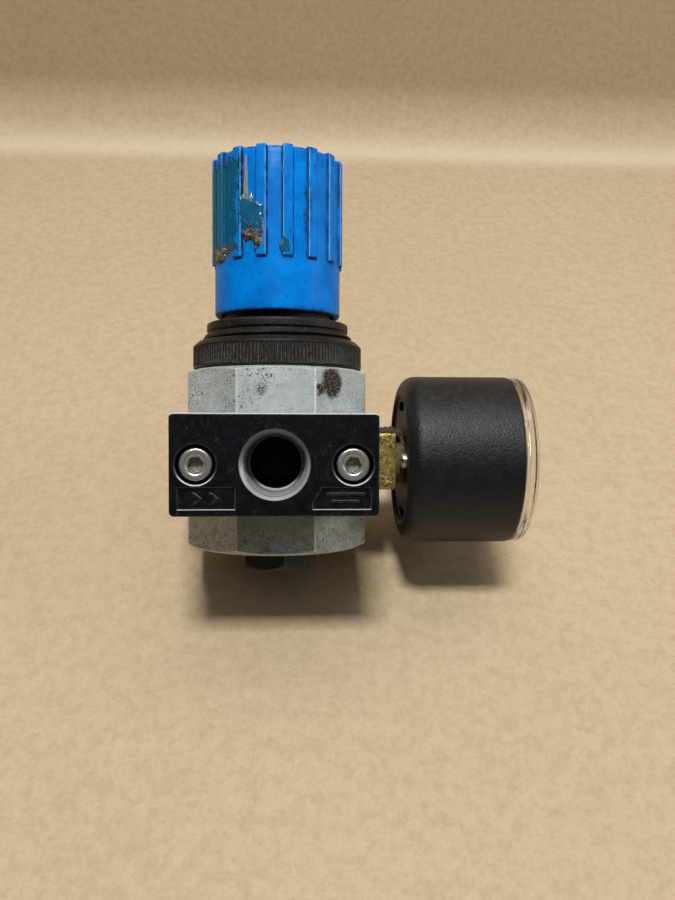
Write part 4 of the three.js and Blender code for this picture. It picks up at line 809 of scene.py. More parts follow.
hexr = lambda a, af=6.16: (af / 2) / math.cos((a % (PI / 3)) - PI / 6)
rows = [(2.0, 93.4), (lambda a: hexr(a), 93.4), (lambda a: hexr(a), 86.9), (lambda a: hexr(a) + 0.35, 86.5), (5.3, 86.5), (5.6, 86.8), (5.6, 93.0), (5.8, 93.2), (12.7, 93.2), (13.0, 92.9), (13.0, 86.7),
        (13.4, 86.5), (13.4, 78.0), (13.4, 69.0), (13.4, 60.5), (13.55, 60.15), (13.8, 60.0), (14.4, 60.0), (14.7, 60.08), (14.86, 60.28), (14.9, 60.6)]
rows += [(14.9, z) for z in (63.0, 66.0, 69.0, 71.0, 71.7)]
rows += [knob_row(14.9, 14.93, 71.86), knob_row(14.9, 15.08, 71.9, 71.92), knob_row(14.9, 15.3, 71.94), knob_row(14.9, 15.5, 72.0, 71.99), knob_row(14.9, 15.58, 72.1), knob_row(14.9, 15.6, 72.3)]
rows += [knob_row(14.9, 15.6, z) for z in (75.0, 79.0, 83.0, 87.0, 91.0, 94.0, 94.9)]
rows += [knob_row(14.88, 15.6, 95.4, 95.6), knob_row(14.78, 15.58, 95.8, 96.1), knob_row(14.55, 15.5, 96.15, 96.33), knob_row(14.2, 15.3, 96.4, 96.52), knob_row(13.8, 14.95, 96.54, 96.6),
         knob_row(13.3, 14.0, 96.6), (12.9, 96.6), (12.6, 96.52), (12.45, 96.25), (12.2, 96.1), (11.4, 96.08), (6.0, 96.16), (1.0, 96.2)]
knob = radial("knob_moulding", rows, len(knob_thetas), M["knob"], 42, knob_thetas)
finish_piece(knob, "knob", "blue_plastic", "knob")


def lump(name, outline, base, height, mat, seed, nt=72, nz=84, edge=1.1, ragged=0.9, grain=0.05):
    """Dried lump on the knob: a thin closed shell that swells over the ribs inside a ragged outline of (angle, height) points."""
    def inside(a, z):
        """Signed distance in mm to the outline, positive inside."""
        best, odd = 1e9, False
        n = len(outline)
        for i in range(n):
            a0, z0 = outline[i]
            a1, z1 = outline[(i + 1) % n]
            x0, x1, x = math.radians(a0) * 15.3, math.radians(a1) * 15.3, a * 15.3
            dx, dz = x1 - x0, z1 - z0
            t = min(1.0, max(0.0, ((x - x0) * dx + (z - z0) * dz) / (dx * dx + dz * dz)))
            best = min(best, math.hypot(x - x0 - t * dx, z - z0 - t * dz))
            if (z0 > z) != (z1 > z) and x < x0 + (z - z0) / dz * dx:
                odd = not odd
        return best if odd else -best

    th0, th1 = min(p[0] for p in outline) - 2, max(p[0] for p in outline) + 2
    z0_, z1_ = min(p[1] for p in outline) - 0.5, max(p[1] for p in outline) + 0.5
    verts, faces = [], []
    for side in (0, 1):
        for j in range(nz + 1):
            for i in range(nt + 1):
                s, t = i / nt, j / nz
                a = math.radians(lerp(th0, th1, s))
                z = lerp(z0_, z1_, t)
                d = inside(a, z) + ragged * hashed_noise(a * 11.0, z * 0.6, 0.0, seed)
                if i in (0, nt) or j in (0, nz):
                    d = -1.0
                w = smooth(d / edge)
                u = (a - RIB_TURN) / RIB_PITCH
                u = (u - round(u)) * RIB_PITCH * 15
                under = 14.9 + 0.7 * smooth((1.28 - abs(u)) / 0.3) if z > 72 else 14.9
                if side == 0:
                    top = lerp(under, base, 0.8) + height * (0.75 + 0.6 * hashed_noise(a * 3.2, z * 0.22, 1.0, seed + 3)) + grain * hashed_noise(a * 40, z * 2.6, 2.0, seed)
                    r = lerp(under - 0.2, max(under + 0.03, min(top, base + 0.8)), w) if w > 0 else under - 0.2
                else:
                    r = under - 0.32
                verts.append((r * math.sin(a), -r * math.cos(a), z))
    m = (nt + 1) * (nz + 1)
    idx = lambda side, i, j: side * m + j * (nt + 1) + i
    for j in range(nz):
        for i in range(nt):
            faces.append((idx(0, i, j), idx(0, i + 1, j), idx(0, i + 1, j + 1), idx(0, i, j + 1)))
            faces.append((idx(1, i, j), idx(1, i, j + 1), idx(1, i + 1, j + 1), idx(1, i + 1, j)))
    for i in range(nt):
        faces.append((idx(1, i, 0), idx(1, i + 1, 0), idx(0, i + 1, 0), idx(0, i, 0)))
        faces.append((idx(0, i, nz), idx(0, i + 1, nz), idx(1, i + 1, nz), idx(1, i, nz)))
    for j in range(nz):
        faces.append((idx(0, 0, j), idx(0, 0, j + 1), idx(1, 0, j + 1), idx(1, 0, j)))
        faces.append((idx(1, nt, j), idx(1, nt, j + 1), idx(0, nt, j + 1), idx(0, nt, j)))
    ob = obj_from(name, verts, faces, mat, True, 180)
    finish_piece(ob, "knob", "blue_plastic")
    return ob


lump("dried_paint_lump", [(-32, 76.6), (-27, 74.6), (-23, 75.4), (-20, 73.0), (-15, 72.6), (-10.5, 74.6), (-8.4, 78.6), (-9.2, 82.6), (-14, 84.4), (-18.5, 84.4), (-22, 86.8), (-25, 85.6), (-31, 86.6), (-34, 83.6), (-33, 80.0)], 15.68, 0.42, M["gunk"], 4.2, grain=0.0, ragged=0.42)
lump("dried_paint_crumbs", [(-72, 73.6), (-64, 72.0), (-55, 71.6), (-49, 72.4), (-50, 74.2), (-58, 75.6), (-66, 76.0)], 15.35, 0.16, M["gunk"], 9.1, 60, 44, 0.6, 0.9, 0.06)
lump("dried_paint_chip", [(1.0, 73.6), (5.0, 72.2), (12.0, 72.0), (14.0, 73.6), (11.0, 75.6), (5.5, 76.4)], 15.55, 0.14, M["gunk2"], 2.7, 34, 30, 0.6, 0.35, 0.0)

# ---------------------------------------------------------------- ring nut
TEETH = 150
PER = 6
tooth = [0.0, 0.45, 1.0, 1.0, 0.45, 0.0]


def knurl(r, depth):
    return lambda a: r - depth * tooth[int(round(a / (2 * PI) * TEETH * PER)) % PER]


rows = [(18.1, 47.65), (18.12, 47.5), (18.25, 47.38), (18.4, 47.35), (19.55, 47.35), (19.8, 47.4), (19.95, 47.5), (20.05, 47.62), (20.1, 47.75), (knurl(20.1, 0.16), 47.95), (knurl(20.1, 0.33), 48.15), (knurl(20.1, 0.33), 50.0),
        (knurl(20.1, 0.33), 52.1), (knurl(20.1, 0.16), 52.32), (20.08, 52.5), (20.04, 52.66), (19.92, 52.82), (19.1, 53.66), (18.95, 53.78), (18.75, 53.86), (18.5, 53.9), (18.25, 53.87), (18.13, 53.76), (18.1, 53.6)]
verts, faces = [], []
n = TEETH * PER
for rf, z in rows:
    for i in range(n):
        a = 2 * PI * i / n
        r = rf(a) if callable(rf) else rf
        verts.append((r * math.sin(a), -r * math.cos(a), z))
for s in range(len(rows)):
    t = (s + 1) % len(rows)
    for i in range(n):
        j = (i + 1) % n
        faces.append((s * n + i, s * n + j, t * n + j, t * n + i))
nut = obj_from("knurled_ring_nut", verts, faces, M["nut"], True, 28)
finish_piece(nut, "ring_nut", "black_plastic", "ring_nut")

# ---------------------------------------------------------------- bonnet with its panel thread
PITCH = 1.5


def thread_r(crest, depth, z, sharp=0.18):
    def f(a):
        p = (z / PITCH - a / (2 * PI)) % 1.0
        d = abs(2 * p - 1)  # 0 at the crest's centre, 1 at the root's
        return crest - depth * smooth((d - sharp) / (1 - 2 * sharp))
    return f


rows = [(13.5, 40.3), (13.8, 40.0), (17.5, 40.0), (17.8, 40.3), (17.8, 46.2)]
z = 46.4
while z < 55.0:
    rows.append((thread_r(17.8, 0.72 * min(1.0, (z - 46.2) / 0.8), z), z))
    z += 0.125
rows += [(17.45, 55.12), (17.3, 55.35), (17.1, 55.48), (16.8, 55.5), (16.5, 55.52), (16.4, 55.62), (16.38, 55.9), (16.4, 56.18), (16.5, 56.29), (16.7, 56.31), (16.84, 56.36), (16.9, 56.5), (16.9, 57.6), (16.86, 57.85), (16.72, 58.06), (16.45, 58.19),
         (16.1, 58.2), (13.1, 58.2), (12.8, 58.27), (12.6, 58.5), (12.6, 70.0), (12.6, 85.2), (12.5, 85.6), (12.0, 86.0), (4.5, 86.0), (4.2, 85.7), (4.2, 83.2), (11.2, 83.2), (11.2, 70.0), (11.2, 56.5), (13.5, 54.6)]
n = 168
verts, faces = [], []
for rf, zz in rows:
    for i in range(n):
        a = 2 * PI * i / n
        r = rf(a) if callable(rf) else rf
        verts.append((r * math.sin(a), -r * math.cos(a), zz))
for s in range(len(rows)):
    t = (s + 1) % len(rows)
    for i in range(n):
        j = (i + 1) % n
        faces.append((s * n + i, s * n + j, t * n + j, t * n + i))
bonnet = obj_from("threaded_bonnet", verts, faces, M["bonnet"], True, 40)
slotbox = prism("t1", [(-12.9, -1.6), (12.9, -1.6), (12.9, 1.6), (-12.9, 1.6)], 60.0, 82.0)
slotbox2 = lathe("t2", [(0, 9.0), (1.0, 9.0), (1.0, 15.0), (0, 15.0)], n=24, axis="X", offset=(0, 0, 59.6), closed=False)
boolean(bonnet, [slotbox, slotbox2])
tidy(bonnet, 40, mat=M["bonnet"])
finish_piece(bonnet, "regulator", "bonnet_plastic", "bonnet")

# ---------------------------------------------------------------- housing
def octagon(af):
    return ngon(8, af)


body = prism("cast_housing", octagon(41.0), 5.5, 47.2)
bevel(body, 0.42, 3, 20, lambda e: abs((e.verts[0].co - e.verts[1].co).normalized().z) > 0.9)
turned_skin = lathe("t3", [(0, 5.5), (19.3, 5.5), (19.75, 5.56), (20.1, 5.72), (20.6, 6.0), (21.4, 6.36), (22.3, 6.82), (22.7, 7.1), (22.7, 45.7), (22.3, 46.1), (21.4, 46.5), (20.6, 46.8), (20.1, 47.0), (19.75, 47.14), (19.3, 47.2), (0, 47.2)], n=192, closed=False, angle=60)
boolean(body, [turned_skin], "INTERSECT")
block = prism("t4", rounded(41.0, 41.0, 0.8, 5), PORT_Z - 10.3, PORT_Z + 10.3)
boolean(body, [block], "UNION")
inside = lathe("t5", [(0, 4.0), (9.3, 4.0), (9.3, 5.5), (9.1, 5.75), (8.5, 6.3), (8.5, 13.1), (6.5, 13.1), (6.5, 32.0), (3.2, 32.0), (3.2, 35.5), (15.0, 35.5), (15.0, 39.0), (17.9, 39.0), (17.9, 46.6), (18.3, 47.2), (18.3, 49.0), (0, 49.0)], n=128, closed=False)
inlet = lathe("t6", [(0, 4.0), (5.6, 4.0), (5.6, 22.0), (0, 22.0)], n=72, closed=False, axis="Y", offset=(0, 0, PORT_Z))
outlet = lathe("t7", [(0, 9.0), (4.4, 9.0), (5.6, 9.7), (5.6, 22.0), (0, 22.0)], n=72, closed=False, axis="-Y", offset=(0, 0, PORT_Z))
rise = lathe("t8", [(0, PORT_Z), (2.4, PORT_Z), (2.4, 36.0), (0, 36.0)], n=32, closed=False, offset=(0, -12, 0))
gx = lathe("t9", [(0, 10.0), (4.4, 10.0), (4.4, 22.0), (0, 22.0)], n=48, closed=False, axis="X", offset=(0, 0, PORT_Z))
gm = lathe("t10", [(0, 10.0), (4.4, 10.0), (4.4, 22.0), (0, 22.0)], n=48, closed=False, axis="-X", offset=(0, 0, PORT_Z))
taps = []
for x in (-16.0, 16.0):
    for ax in ("Y", "-Y"):
        taps.append(lathe("t11", [(0, 11.2), (2.1, 11.2), (2.1, 22.0), (0, 22.0)], n=24, closed=False, axis=ax, offset=(x, 0, PORT_Z)))
pr = [lathe("t12", [(0, PORT_Z), (1.5, PORT_Z), (1.5, 36.0), (0, 36.0)], n=20, closed=False, offset=(x, 0, 0)) for x in (-12, 12)]
boolean(body, [inside, inlet, outlet, rise, gx, gm, *taps, *pr])
tidy(body, 30, mat=M["paint"])
finish_piece(body, "regulator", "painted_cast", "housing")


# ---------------------------------------------------------------- port plates, threads and screws
def plate_frame(side):
    """Local frame of a plate: x across, y up, +z out of the port."""
    if side == "outlet":
        return Matrix(((1, 0, 0, 0), (0, 0, -1, 0), (0, 1, 0, PORT_Z * MM), (0, 0, 0, 1)))
    return Matrix(((-1, 0, 0, 0), (0, 0, 1, 0), (0, 1, 0, PORT_Z * MM), (0, 0, 0, 1)))


def place(ob, mat4):
    ob.data.transform(mat4)
    ob.data.update()
    return ob


def screw_head(name):
    """Socket head screw, local +z out, seat at z = 27.4."""
    s = 27.4
    prof = [(0, 12.2), (1.4, 12.2), (1.95, 12.8)]
    prof += [(2.0 - 0.22 * (k % 2), 13.0 + 0.35 * k) for k in range(38)]
    prof += [(2.0, s - 0.05), (3.25, s), (3.4, s + 0.15), (3.4, s + 3.45), (3.37, s + 3.68), (3.28, s + 3.86), (3.14, s + 3.97), (2.98, s + 4.0), (2.25, s + 4.0), (2.12, s + 3.97), (1.95, s + 3.82), (0, s + 3.82)]
    ob = lathe(name, prof, n=72, closed=False, angle=40)
    hexcut = prism("t", ngon(6, 3.0, 12), s + 1.9, s + 5.0)
    cone = lathe("t", [(0, s + 1.3), (1.3, s + 1.91), (0, s + 1.91)], n=36, closed=False)
    boolean(ob, [hexcut, cone])
    return ob


for side in ("outlet", "inlet"):
    mf = plate_frame(side)
    W, H = 42.6, 21.0
    slab = prism(side + "_port_plate", rounded(W, H, 1.0, 5), 20.6, 32.0)
    bevel(slab, 0.42, 3, 60, lambda e: min(e.verts[0].co.z, e.verts[1].co.z) > 31.9 * MM or max(e.verts[0].co.z, e.verts[1].co.z) < 20.7 * MM)
    cutters = [lathe("t", [(0, 19.0), (7.25, 19.0), (7.25, 31.98), (7.4, 32.1), (7.4, 33.0), (0, 33.0)], n=128, closed=False)]
    cutters.append(lathe("t", [(0, 19.0), (9.5, 19.0), (9.5, 22.1), (0, 22.1)], n=96, closed=False))
    for x in (-16.0, 16.0):
        cutters.append(lathe("t", [(0, 19.0), (2.25, 19.0), (2.25, 27.3), (4.1, 27.3), (4.1, 31.75), (4.3, 31.96), (4.4, 32.1), (4.4, 33.0), (0, 33.0)], n=80, closed=False, offset=(x, 0, 0)))
    fl = [(-19.7, -9.2), (-7.9, -9.2), (-7.9, -4.6), (-19.7, -4.6)]
    fr = [(7.6, -9.2), (19.7, -9.2), (19.7, -4.6), (9.4, -4.6), (7.6, -7.9)]
    for f in (fl, fr):
        cx, cy = sum(p[0] for p in f) / len(f), sum(p[1] for p in f) / len(f)
        small = [(cx + (x - cx) * 0.975, cy + (y - cy) * 0.93) for x, y in f]
        big = [(cx + (x - cx) * 1.0 + 0.0, cy + (y - cy) * 1.0) for x, y in f]
        cutters.append(prism("t", small, 31.6, 32.2, top=big))
    boolean(slab, cutters)
    # generic raised marks in the fields: a flow chevron and two short bars
    marks = []
    for k in range(2):
        x0 = -16.6 + k * 3.4
        marks.append(prism("t", [(x0, -8.1), (x0 + 0.5, -8.1), (x0 + 1.9, -6.9), (x0 + 0.5, -5.7), (x0, -5.7), (x0 + 1.35, -6.9)], 31.5, 31.86))
    marks.append(prism("t", [(10.6, -6.2), (18.3, -6.2), (18.3, -5.75), (10.6, -5.75)], 31.5, 31.84))
    marks.append(prism("t", [(11.6, -7.7), (17.2, -7.7), (17.2, -7.25), (11.6, -7.25)], 31.5, 31.84))
    boolean(slab, marks, "UNION")
    place(slab, mf)
    tidy(slab, 34, mat=M["plate"])
    finish_piece(slab, "regulator", "black_coated", side + "_plate")

    # bare threaded bush of the port: chamfer, then a tapering helical thread
    depth = [32.0 - 0.085 * k for k in range(0, 108)]
    rows = [(7.24, 32.0), (7.24, 22.4), (7.0, 22.25), (6.1, 22.25)]
    npitch = 1.41
    for zz in [22.4 + 0.088 * k for k in range(100)]:
        if zz > 31.05:
            break
        base = 5.98 + 0.57 * (zz - 22.4) / (31.0 - 22.4)
        rows.append((lambda a, zz=zz, base=base: base + 0.42 * abs(2 * ((zz / npitch - a / (2 * PI)) % 1.0) - 1) - 0.1, zz))
    rows += [(6.62, 31.2), (6.78, 31.4), (6.98, 31.65), (7.16, 31.88), (7.2, 31.95)]
    nn = 120
    verts, faces = [], []
    for rf, zz in rows:
        for i in range(nn):
            a = 2 * PI * i / nn
            r = rf(a) if callable(rf) else rf
            verts.append((r * math.cos(a), r * math.sin(a), zz))
    for s in range(len(rows)):
        t = (s + 1) % len(rows)
        for i in range(nn):
            j = (i + 1) % nn
            faces.append((s * nn + i, s * nn + j, t * nn + j, t * nn + i))
    th = obj_from(side + "_port_thread", verts, faces, M["thread"], True, 50)
    place(th, mf)
    finish_piece(th, "regulator", "steel", side + "_plate")

    for label, x in (("left", -16.0), ("right", 16.0)):
        sc = screw_head(side + "_socket_screw_" + label)
        sc.data.transform(Matrix.Translation((x * MM, 0, 0)) @ Matrix.Rotation(0.5 if label == "left" else 0.2, 4, "Z"))
        place(sc, mf)
        tidy(sc, 36, mat=M["steel"])
        finish_piece(sc, "regulator", "steel", side + "_plate_screw_" + label)

# ---------------------------------------------------------------- bottom plug
hexa = prism("hex_bottom_plug", ngon(6, 17.0, 10), 0.0, 5.4)
cone = lathe("t", [(0, 0), (7.7, 0), (8.0, 0.06), (8.3, 0.28), (10.4, 2.3), (10.4, 6.0), (0, 6.0)], n=144, closed=False)
boolean(hexa, [cone], "INTERSECT")
dish = lathe("t", [(0, -1), (5.2, -1), (5.2, 0.0), (5.0, 0.35), (3.4, 0.5), (3.2, 0.3), (0, 0.3)], n=96, closed=False)
boolean(hexa, [dish])
bevel(hexa, 0.18, 2, 25)
low = lathe("t", [(0, 4.0), (8.35, 4.0), (8.35, 7.0), (7.0, 7.0), (7.0, 8.6), (8.35, 8.6), (8.35, 12.3), (7.8, 12.9), (3.2, 12.9), (3.2, 18.0), (0, 18.0)], n=96, closed=False)
boolean(hexa, [low], "UNION")
hole = lathe("t", [(0, 5.0), (2.1, 5.0), (2.1, 19.0), (0, 19.0)], n=48, closed=False)
boolean(hexa, [hole])
tidy(hexa, 34, mat=M["plug"])
finish_piece(hexa, "regulator", "black_plastic", "bottom_plug")

# ---------------------------------------------------------------- gauge: socket, case, window, dial
G0 = (0, 0, PORT_Z)


def gpt(r, deg):
    """Point of the dial plane (y, z) from the clock angle used for the dial: 0 to the right (+Y), 90 up."""
    a = math.radians(deg)
    return r * math.cos(a), PORT_Z + r * math.sin(a)


def gprism(name, pts, x0, x1, mat=None):
    """Prism on an outline of (right, up) points of the dial plane."""
    n = len(pts)
    verts = [(x0, p[0], PORT_Z + p[1]) for p in pts] + [(x1, p[0], PORT_Z + p[1]) for p in pts]
    faces = [tuple(range(n))[::-1], tuple(range(n, 2 * n))] + [(i, (i + 1) % n, n + (i + 1) % n, n + i) for i in range(n)]
    return obj_from(name, verts, faces, mat)


def pol(r, d):
    return (r * math.cos(math.radians(d)), r * math.sin(math.radians(d)))


sq = gprism("brass_socket", rounded(14.0, 14.0, 1.4, 5), 21.7, 28.0)
bevel(sq, 0.45, 4, 60, lambda e: abs((e.verts[0].co - e.verts[1].co).normalized().x) < 0.1)
neck = lathe("t", [(0, 12.0), (3.9, 12.0)] + [(4.3 - 0.3 * (k % 2), 12.3 + 0.45 * k) for k in range(20)] + [(4.3, 21.4), (4.3, 23.0), (0, 23.0)], n=64, closed=False, axis="X", offset=G0)
neck2 = lathe("t", [(0, 27.0), (6.4, 27.0), (6.1, 28.1), (5.85, 28.35), (5.7, 28.7), (5.7, 32.0), (0, 32.0)], n=96, closed=False, axis="X", offset=G0)
bar = gprism("t", [(-10, -4), (10, -4), (10, 4), (-10, 4)], 31.6, 36.0)
arm = gprism("t", [pol(3.0, -110), pol(14.0, -146), pol(15.0, -140), pol(14.0, -134), pol(3.0, -60)], 31.62, 35.98)
leg = gprism("t", [pol(16.2, a) for a in (-149, -145, -140, -135, -131)] + [pol(12.4, a) for a in (-131, -140, -149)], 31.64, 43.0)
boolean(sq, [neck, neck2, bar, arm, leg], "UNION")
cut_ = [lathe("t", [(0, 11.0), (1.2, 11.0), (1.2, 34.0), (0, 34.0)], n=32, closed=False, axis="X", offset=G0)]
for y in (-8, 8):
    cut_.append(lathe("t", [(0, 31.0), (0.95, 31.0), (0.95, 34.2), (0, 34.2)], n=24, closed=False, axis="X", offset=(0, y, PORT_Z)))
for y in (-6.2, 6.2):
    cut_.append(lathe("t", [(0, 34.4), (0.85, 34.4), (0.85, 37.0), (0, 37.0)], n=24, closed=False, axis="X", offset=(0, y, PORT_Z)))
boolean(sq, cut_)
tidy(sq, 34, mat=M["brass_out"])
finish_piece(sq, "regulator", "brass", "gauge_socket")

# packed dirt in the gap on top of the socket
verts, faces = [], []
nu, nv = 40, 44
for j in range(nv + 1):
    for i in range(nu + 1):
        s, t = i / nu, j / nv
        xx = lerp(22.2, 29.35, s)
        yy = lerp(-6.9, 6.4, t)
        d = min(s, 1 - s, t, 1 - t) * 2
        w = smooth((d + 0.45 * hashed_noise(xx * 0.55, yy * 0.5, 0.0, 5.5)) / 0.5) if d > 0 else 0.0
        top = 32.85 + w * (0.55 + 0.55 * smooth((xx - 25.5) / 3.0) + 0.55 * hashed_noise(xx * 0.9, yy * 0.9, 3.0, 1.7) + 0.16 * hashed_noise(xx * 3.2, yy * 3.2, 3.0, 1.7))
        if xx > 27.9:
            top -= 0.0
        verts.append((xx, yy, top))
m0 = len(verts)
for j in range(nv + 1):
    for i in range(nu + 1):
        s, t = i / nu, j / nv
        verts.append((lerp(22.2, 29.35, s), lerp(-6.9, 6.4, t), 32.55))
ix = lambda k, i, j: k * m0 + j * (nu + 1) + i
for j in range(nv):
    for i in range(nu):
        faces.append((ix(0, i, j), ix(0, i + 1, j), ix(0, i + 1, j + 1), ix(0, i, j + 1)))
        faces.append((ix(1, i, j), ix(1, i, j + 1), ix(1, i + 1, j + 1), ix(1, i + 1, j)))
for i in range(nu):
    faces.append((ix(1, i, 0), ix(1, i + 1, 0), ix(0, i + 1, 0), ix(0, i, 0)))
    faces.append((ix(0, i, nv), ix(0, i + 1, nv), ix(1, i + 1, nv), ix(1, i, nv)))
for j in range(nv):
    faces.append((ix(0, 0, j), ix(0, 0, j + 1), ix(1, 0, j + 1), ix(1, 0, j)))
    faces.append((ix(1, nu, j), ix(1, nu, j + 1), ix(0, nu, j + 1), ix(0, nu, j)))
dirt = obj_from("packed_dirt_on_socket", verts, faces, M["dirt"], True, 70)
finish_piece(dirt, "regulator", "brass")

prof = [(5.9, 30.35), (6.05, 30.2), (15.0, 30.2), (15.25, 30.12), (15.5, 29.9), (15.62, 29.65), (15.8, 29.53), (16.0, 29.5), (16.5, 29.5)]
for i in range(13):
    a = math.radians(-90 + 7.5 * i)
    prof.append((20.1 - 3.6 + 3.6 * math.cos(a), 29.5 + 3.6 + 3.6 * math.sin(a)))
prof += [(20.1, 36.0), (20.1, 44.0), (20.1, 54.9), (20.05, 55.2), (19.9, 55.42), (19.6, 55.5), (18.6, 55.5), (18.43, 55.4), (18.4, 55.2), (18.4, 33.4), (16.4, 31.45), (6.1, 31.45), (5.9, 31.3)]
case = lathe("gauge_case_moulding", prof, n=192, axis="X", offset=G0, angle=36)
cuts = []
for y in (-8, 8):
    cuts.append(lathe("t", [(0, 29.0), (1.9, 29.0), (1.9, 30.25), (1.1, 30.25), (1.1, 32.5), (0, 32.5)], n=32, closed=False, axis="X", offset=(0, y, PORT_Z)))
for k in range(4):
    a = 90 * k
    ca, sa = math.cos(math.radians(a)), math.sin(math.radians(a))
    pts = [(12.9 + u, v) for u, v in rounded(2.2, 8.4, 1.05, 5)]
    cuts.append(gprism("t", [(x * ca - y * sa, x * sa + y * ca) for x, y in pts], 29.0, 32.4))
boolean(case, cuts)
tidy(case, 36, mat=M["case"])
finish_piece(case, "regulator", "case_plastic", "gauge_case")

for label, y in (("front", -8), ("rear", 8)):
    s_ = lathe("case_screw_" + label, [(0, 28.9), (1.35, 28.9), (1.6, 28.95), (1.8, 29.15), (1.88, 29.4), (1.88, 30.15), (0.9, 30.2)] + [(0.9 - 0.14 * (k % 2), 30.4 + 0.25 * k) for k in range(14)] + [(0.6, 33.9), (0, 33.9)], n=40, closed=False, axis="X", offset=(0, y, PORT_Z))
    sl = gprism("t", [(-2.4 + y, -0.25), (2.4 + y, -0.25), (2.4 + y, 0.25), (-2.4 + y, 0.25)], 28.0, 29.5)
    boolean(s_, [sl])
    tidy(s_, 36, mat=M["steel"])
    finish_piece(s_, "regulator", "steel", "gauge_case_screw_" + label)

wprof = [(0, 56.9), (17.5, 56.9), (17.75, 56.75), (17.8, 56.5), (17.8, 54.3), (17.9, 54.2), (18.1, 54.2), (18.2, 54.3), (18.2, 55.5), (18.3, 55.6), (19.75, 55.6), (19.88, 55.68), (19.9, 55.85), (19.9, 57.6),
         (19.86, 57.95), (19.72, 58.25), (19.5, 58.42), (19.2, 58.5), (18.9, 58.46), (18.7, 58.36), (18.4, 58.32), (14.0, 58.48), (9.0, 58.6), (4.0, 58.68), (0, 58.7)]
win = lathe("clear_gauge_window", wprof, n=192, closed=True, axis="X", offset=G0, angle=50)
win.data.materials.clear()
win.data.materials.append(M["clear"])
finish_piece(win, "regulator", "clear_plastic", "gauge_window")

# dial print: scale ring, ticks and numbers, a hair above the enamel
XD = 52.4
ZERO, SWEEP, FULL = -135.0, 270.0, 10


def clock(v):
    """Direction of a scale value in the dial plane as seen from +X, where right is +Y."""
    return ZERO - SWEEP * v / FULL


def arc(r0, r1, a0, a1, n, mat, x0=XD - 0.02, x1=XD + 0.03):
    pts = [pol(r1, a0 + (a1 - a0) * i / n) for i in range(n + 1)] + [pol(r0, a1 + (a0 - a1) * i / n) for i in range(n + 1)]
    return gprism("t", pts, x0, x1, mat)


bits = [arc(15.35, 15.6, clock(0), clock(FULL), 120, M["ink"])]
for k in range(0, 101, 2):
    v = k / 10
    a = clock(v)
    big, mid = k % 20 == 0, k % 10 == 0
    r1, wdt = (17.2, 0.2) if big else (16.8, 0.14) if mid else (16.3, 0.075)
    d = (math.cos(math.radians(a)), math.sin(math.radians(a)))
    nrm = (-d[1], d[0])
    pts = [(d[0] * r + nrm[0] * w, d[1] * r + nrm[1] * w) for r, w in ((15.45, -wdt), (r1, -wdt), (r1, wdt), (15.45, wdt))]
    bits.append(gprism("t", pts, XD - 0.02, XD + 0.03, M["ink"]))
red = clock(8.0)
d = (math.cos(math.radians(red)), math.sin(math.radians(red)))
bits.append(gprism("t", [(d[0] * r - d[1] * w, d[1] * r + d[0] * w) for r, w in ((13.9, -0.16), (15.25, -0.16), (15.25, 0.16), (13.9, 0.16))], XD - 0.02, XD + 0.03, M["red"]))
scale_ = join("dial_scale_print", bits)
finish_piece(scale_, "regulator", "black_plastic")


def digit_text(s, size, right, up, name, mat):
    cu = bpy.data.curves.new(name, "FONT")
    cu.body, cu.size, cu.align_x, cu.align_y = s, size * MM, "CENTER", "CENTER"
    cu.extrude = 0.015 * MM
    cu.resolution_u = 3
    ob = bpy.data.objects.new(name, cu)
    bpy.context.scene.collection.objects.link(ob)
    bpy.context.view_layer.update()
    me = bpy.data.meshes.new_from_object(ob.evaluated_get(bpy.context.evaluated_depsgraph_get()))
    bpy.data.objects.remove(ob)
    # text plane: x to +Y (right as seen from +X), y to +Z, face towards +X
    mt = Matrix(((0, 0, 1, (XD + 0.015) * MM), (1, 0, 0, right * MM), (0, 1, 0, (PORT_Z + up) * MM), (0, 0, 0, 1)))
    me.transform(mt)
    me.materials.clear()
    me.materials.append(mat)
    o2 = bpy.data.objects.new(name, me)
    bpy.context.scene.collection.objects.link(o2)
    return o2


nums = []
for v in range(0, 11, 2):
    r_, u_ = pol(12.75, clock(v))
    nums.append(digit_text(str(v), 3.3, r_, u_, "t", M["ink"]))
nb = join("dial_numbers", nums)
finish_piece(nb, "regulator", "black_plastic")

# pointer, drawn along its zero direction
zx, zy = pol(1, ZERO)
pp = [(13.9, 0.1), (13.2, 0.16), (3.0, 0.52), (2.0, 0.62), (-2.6, 0.72), (-3.1, 1.15), (-3.9, 1.45), (-4.7, 1.2), (-5.1, 0.0)]
pts = pp + [(x, -y) for x, y in reversed(pp[:-1])]
ptr = gprism("gauge_pointer_blade", [(x * zx - y * zy, x * zy + y * zx) for x, y in pts], 53.5, 53.85)
boss = lathe("t", [(0, 53.3), (1.9, 53.3), (2.05, 53.4), (2.1, 53.6), (2.1, 54.0), (1.95, 54.2), (1.6, 54.36), (1.0, 54.4), (0, 54.4)], n=64, closed=False, axis="X", offset=G0)
boolean(ptr, [boss], "UNION")
bevel(ptr, 0.06, 2, 50)
hl = lathe("t", [(0, 53.0), (0.84, 53.0), (0.84, 55.0), (0, 55.0)], n=32, closed=False, axis="X", offset=G0)
boolean(ptr, [hl])
tidy(ptr, 36, mat=M["black"])
finish_piece(ptr, "pointer", "black_plastic", "gauge_pointer")

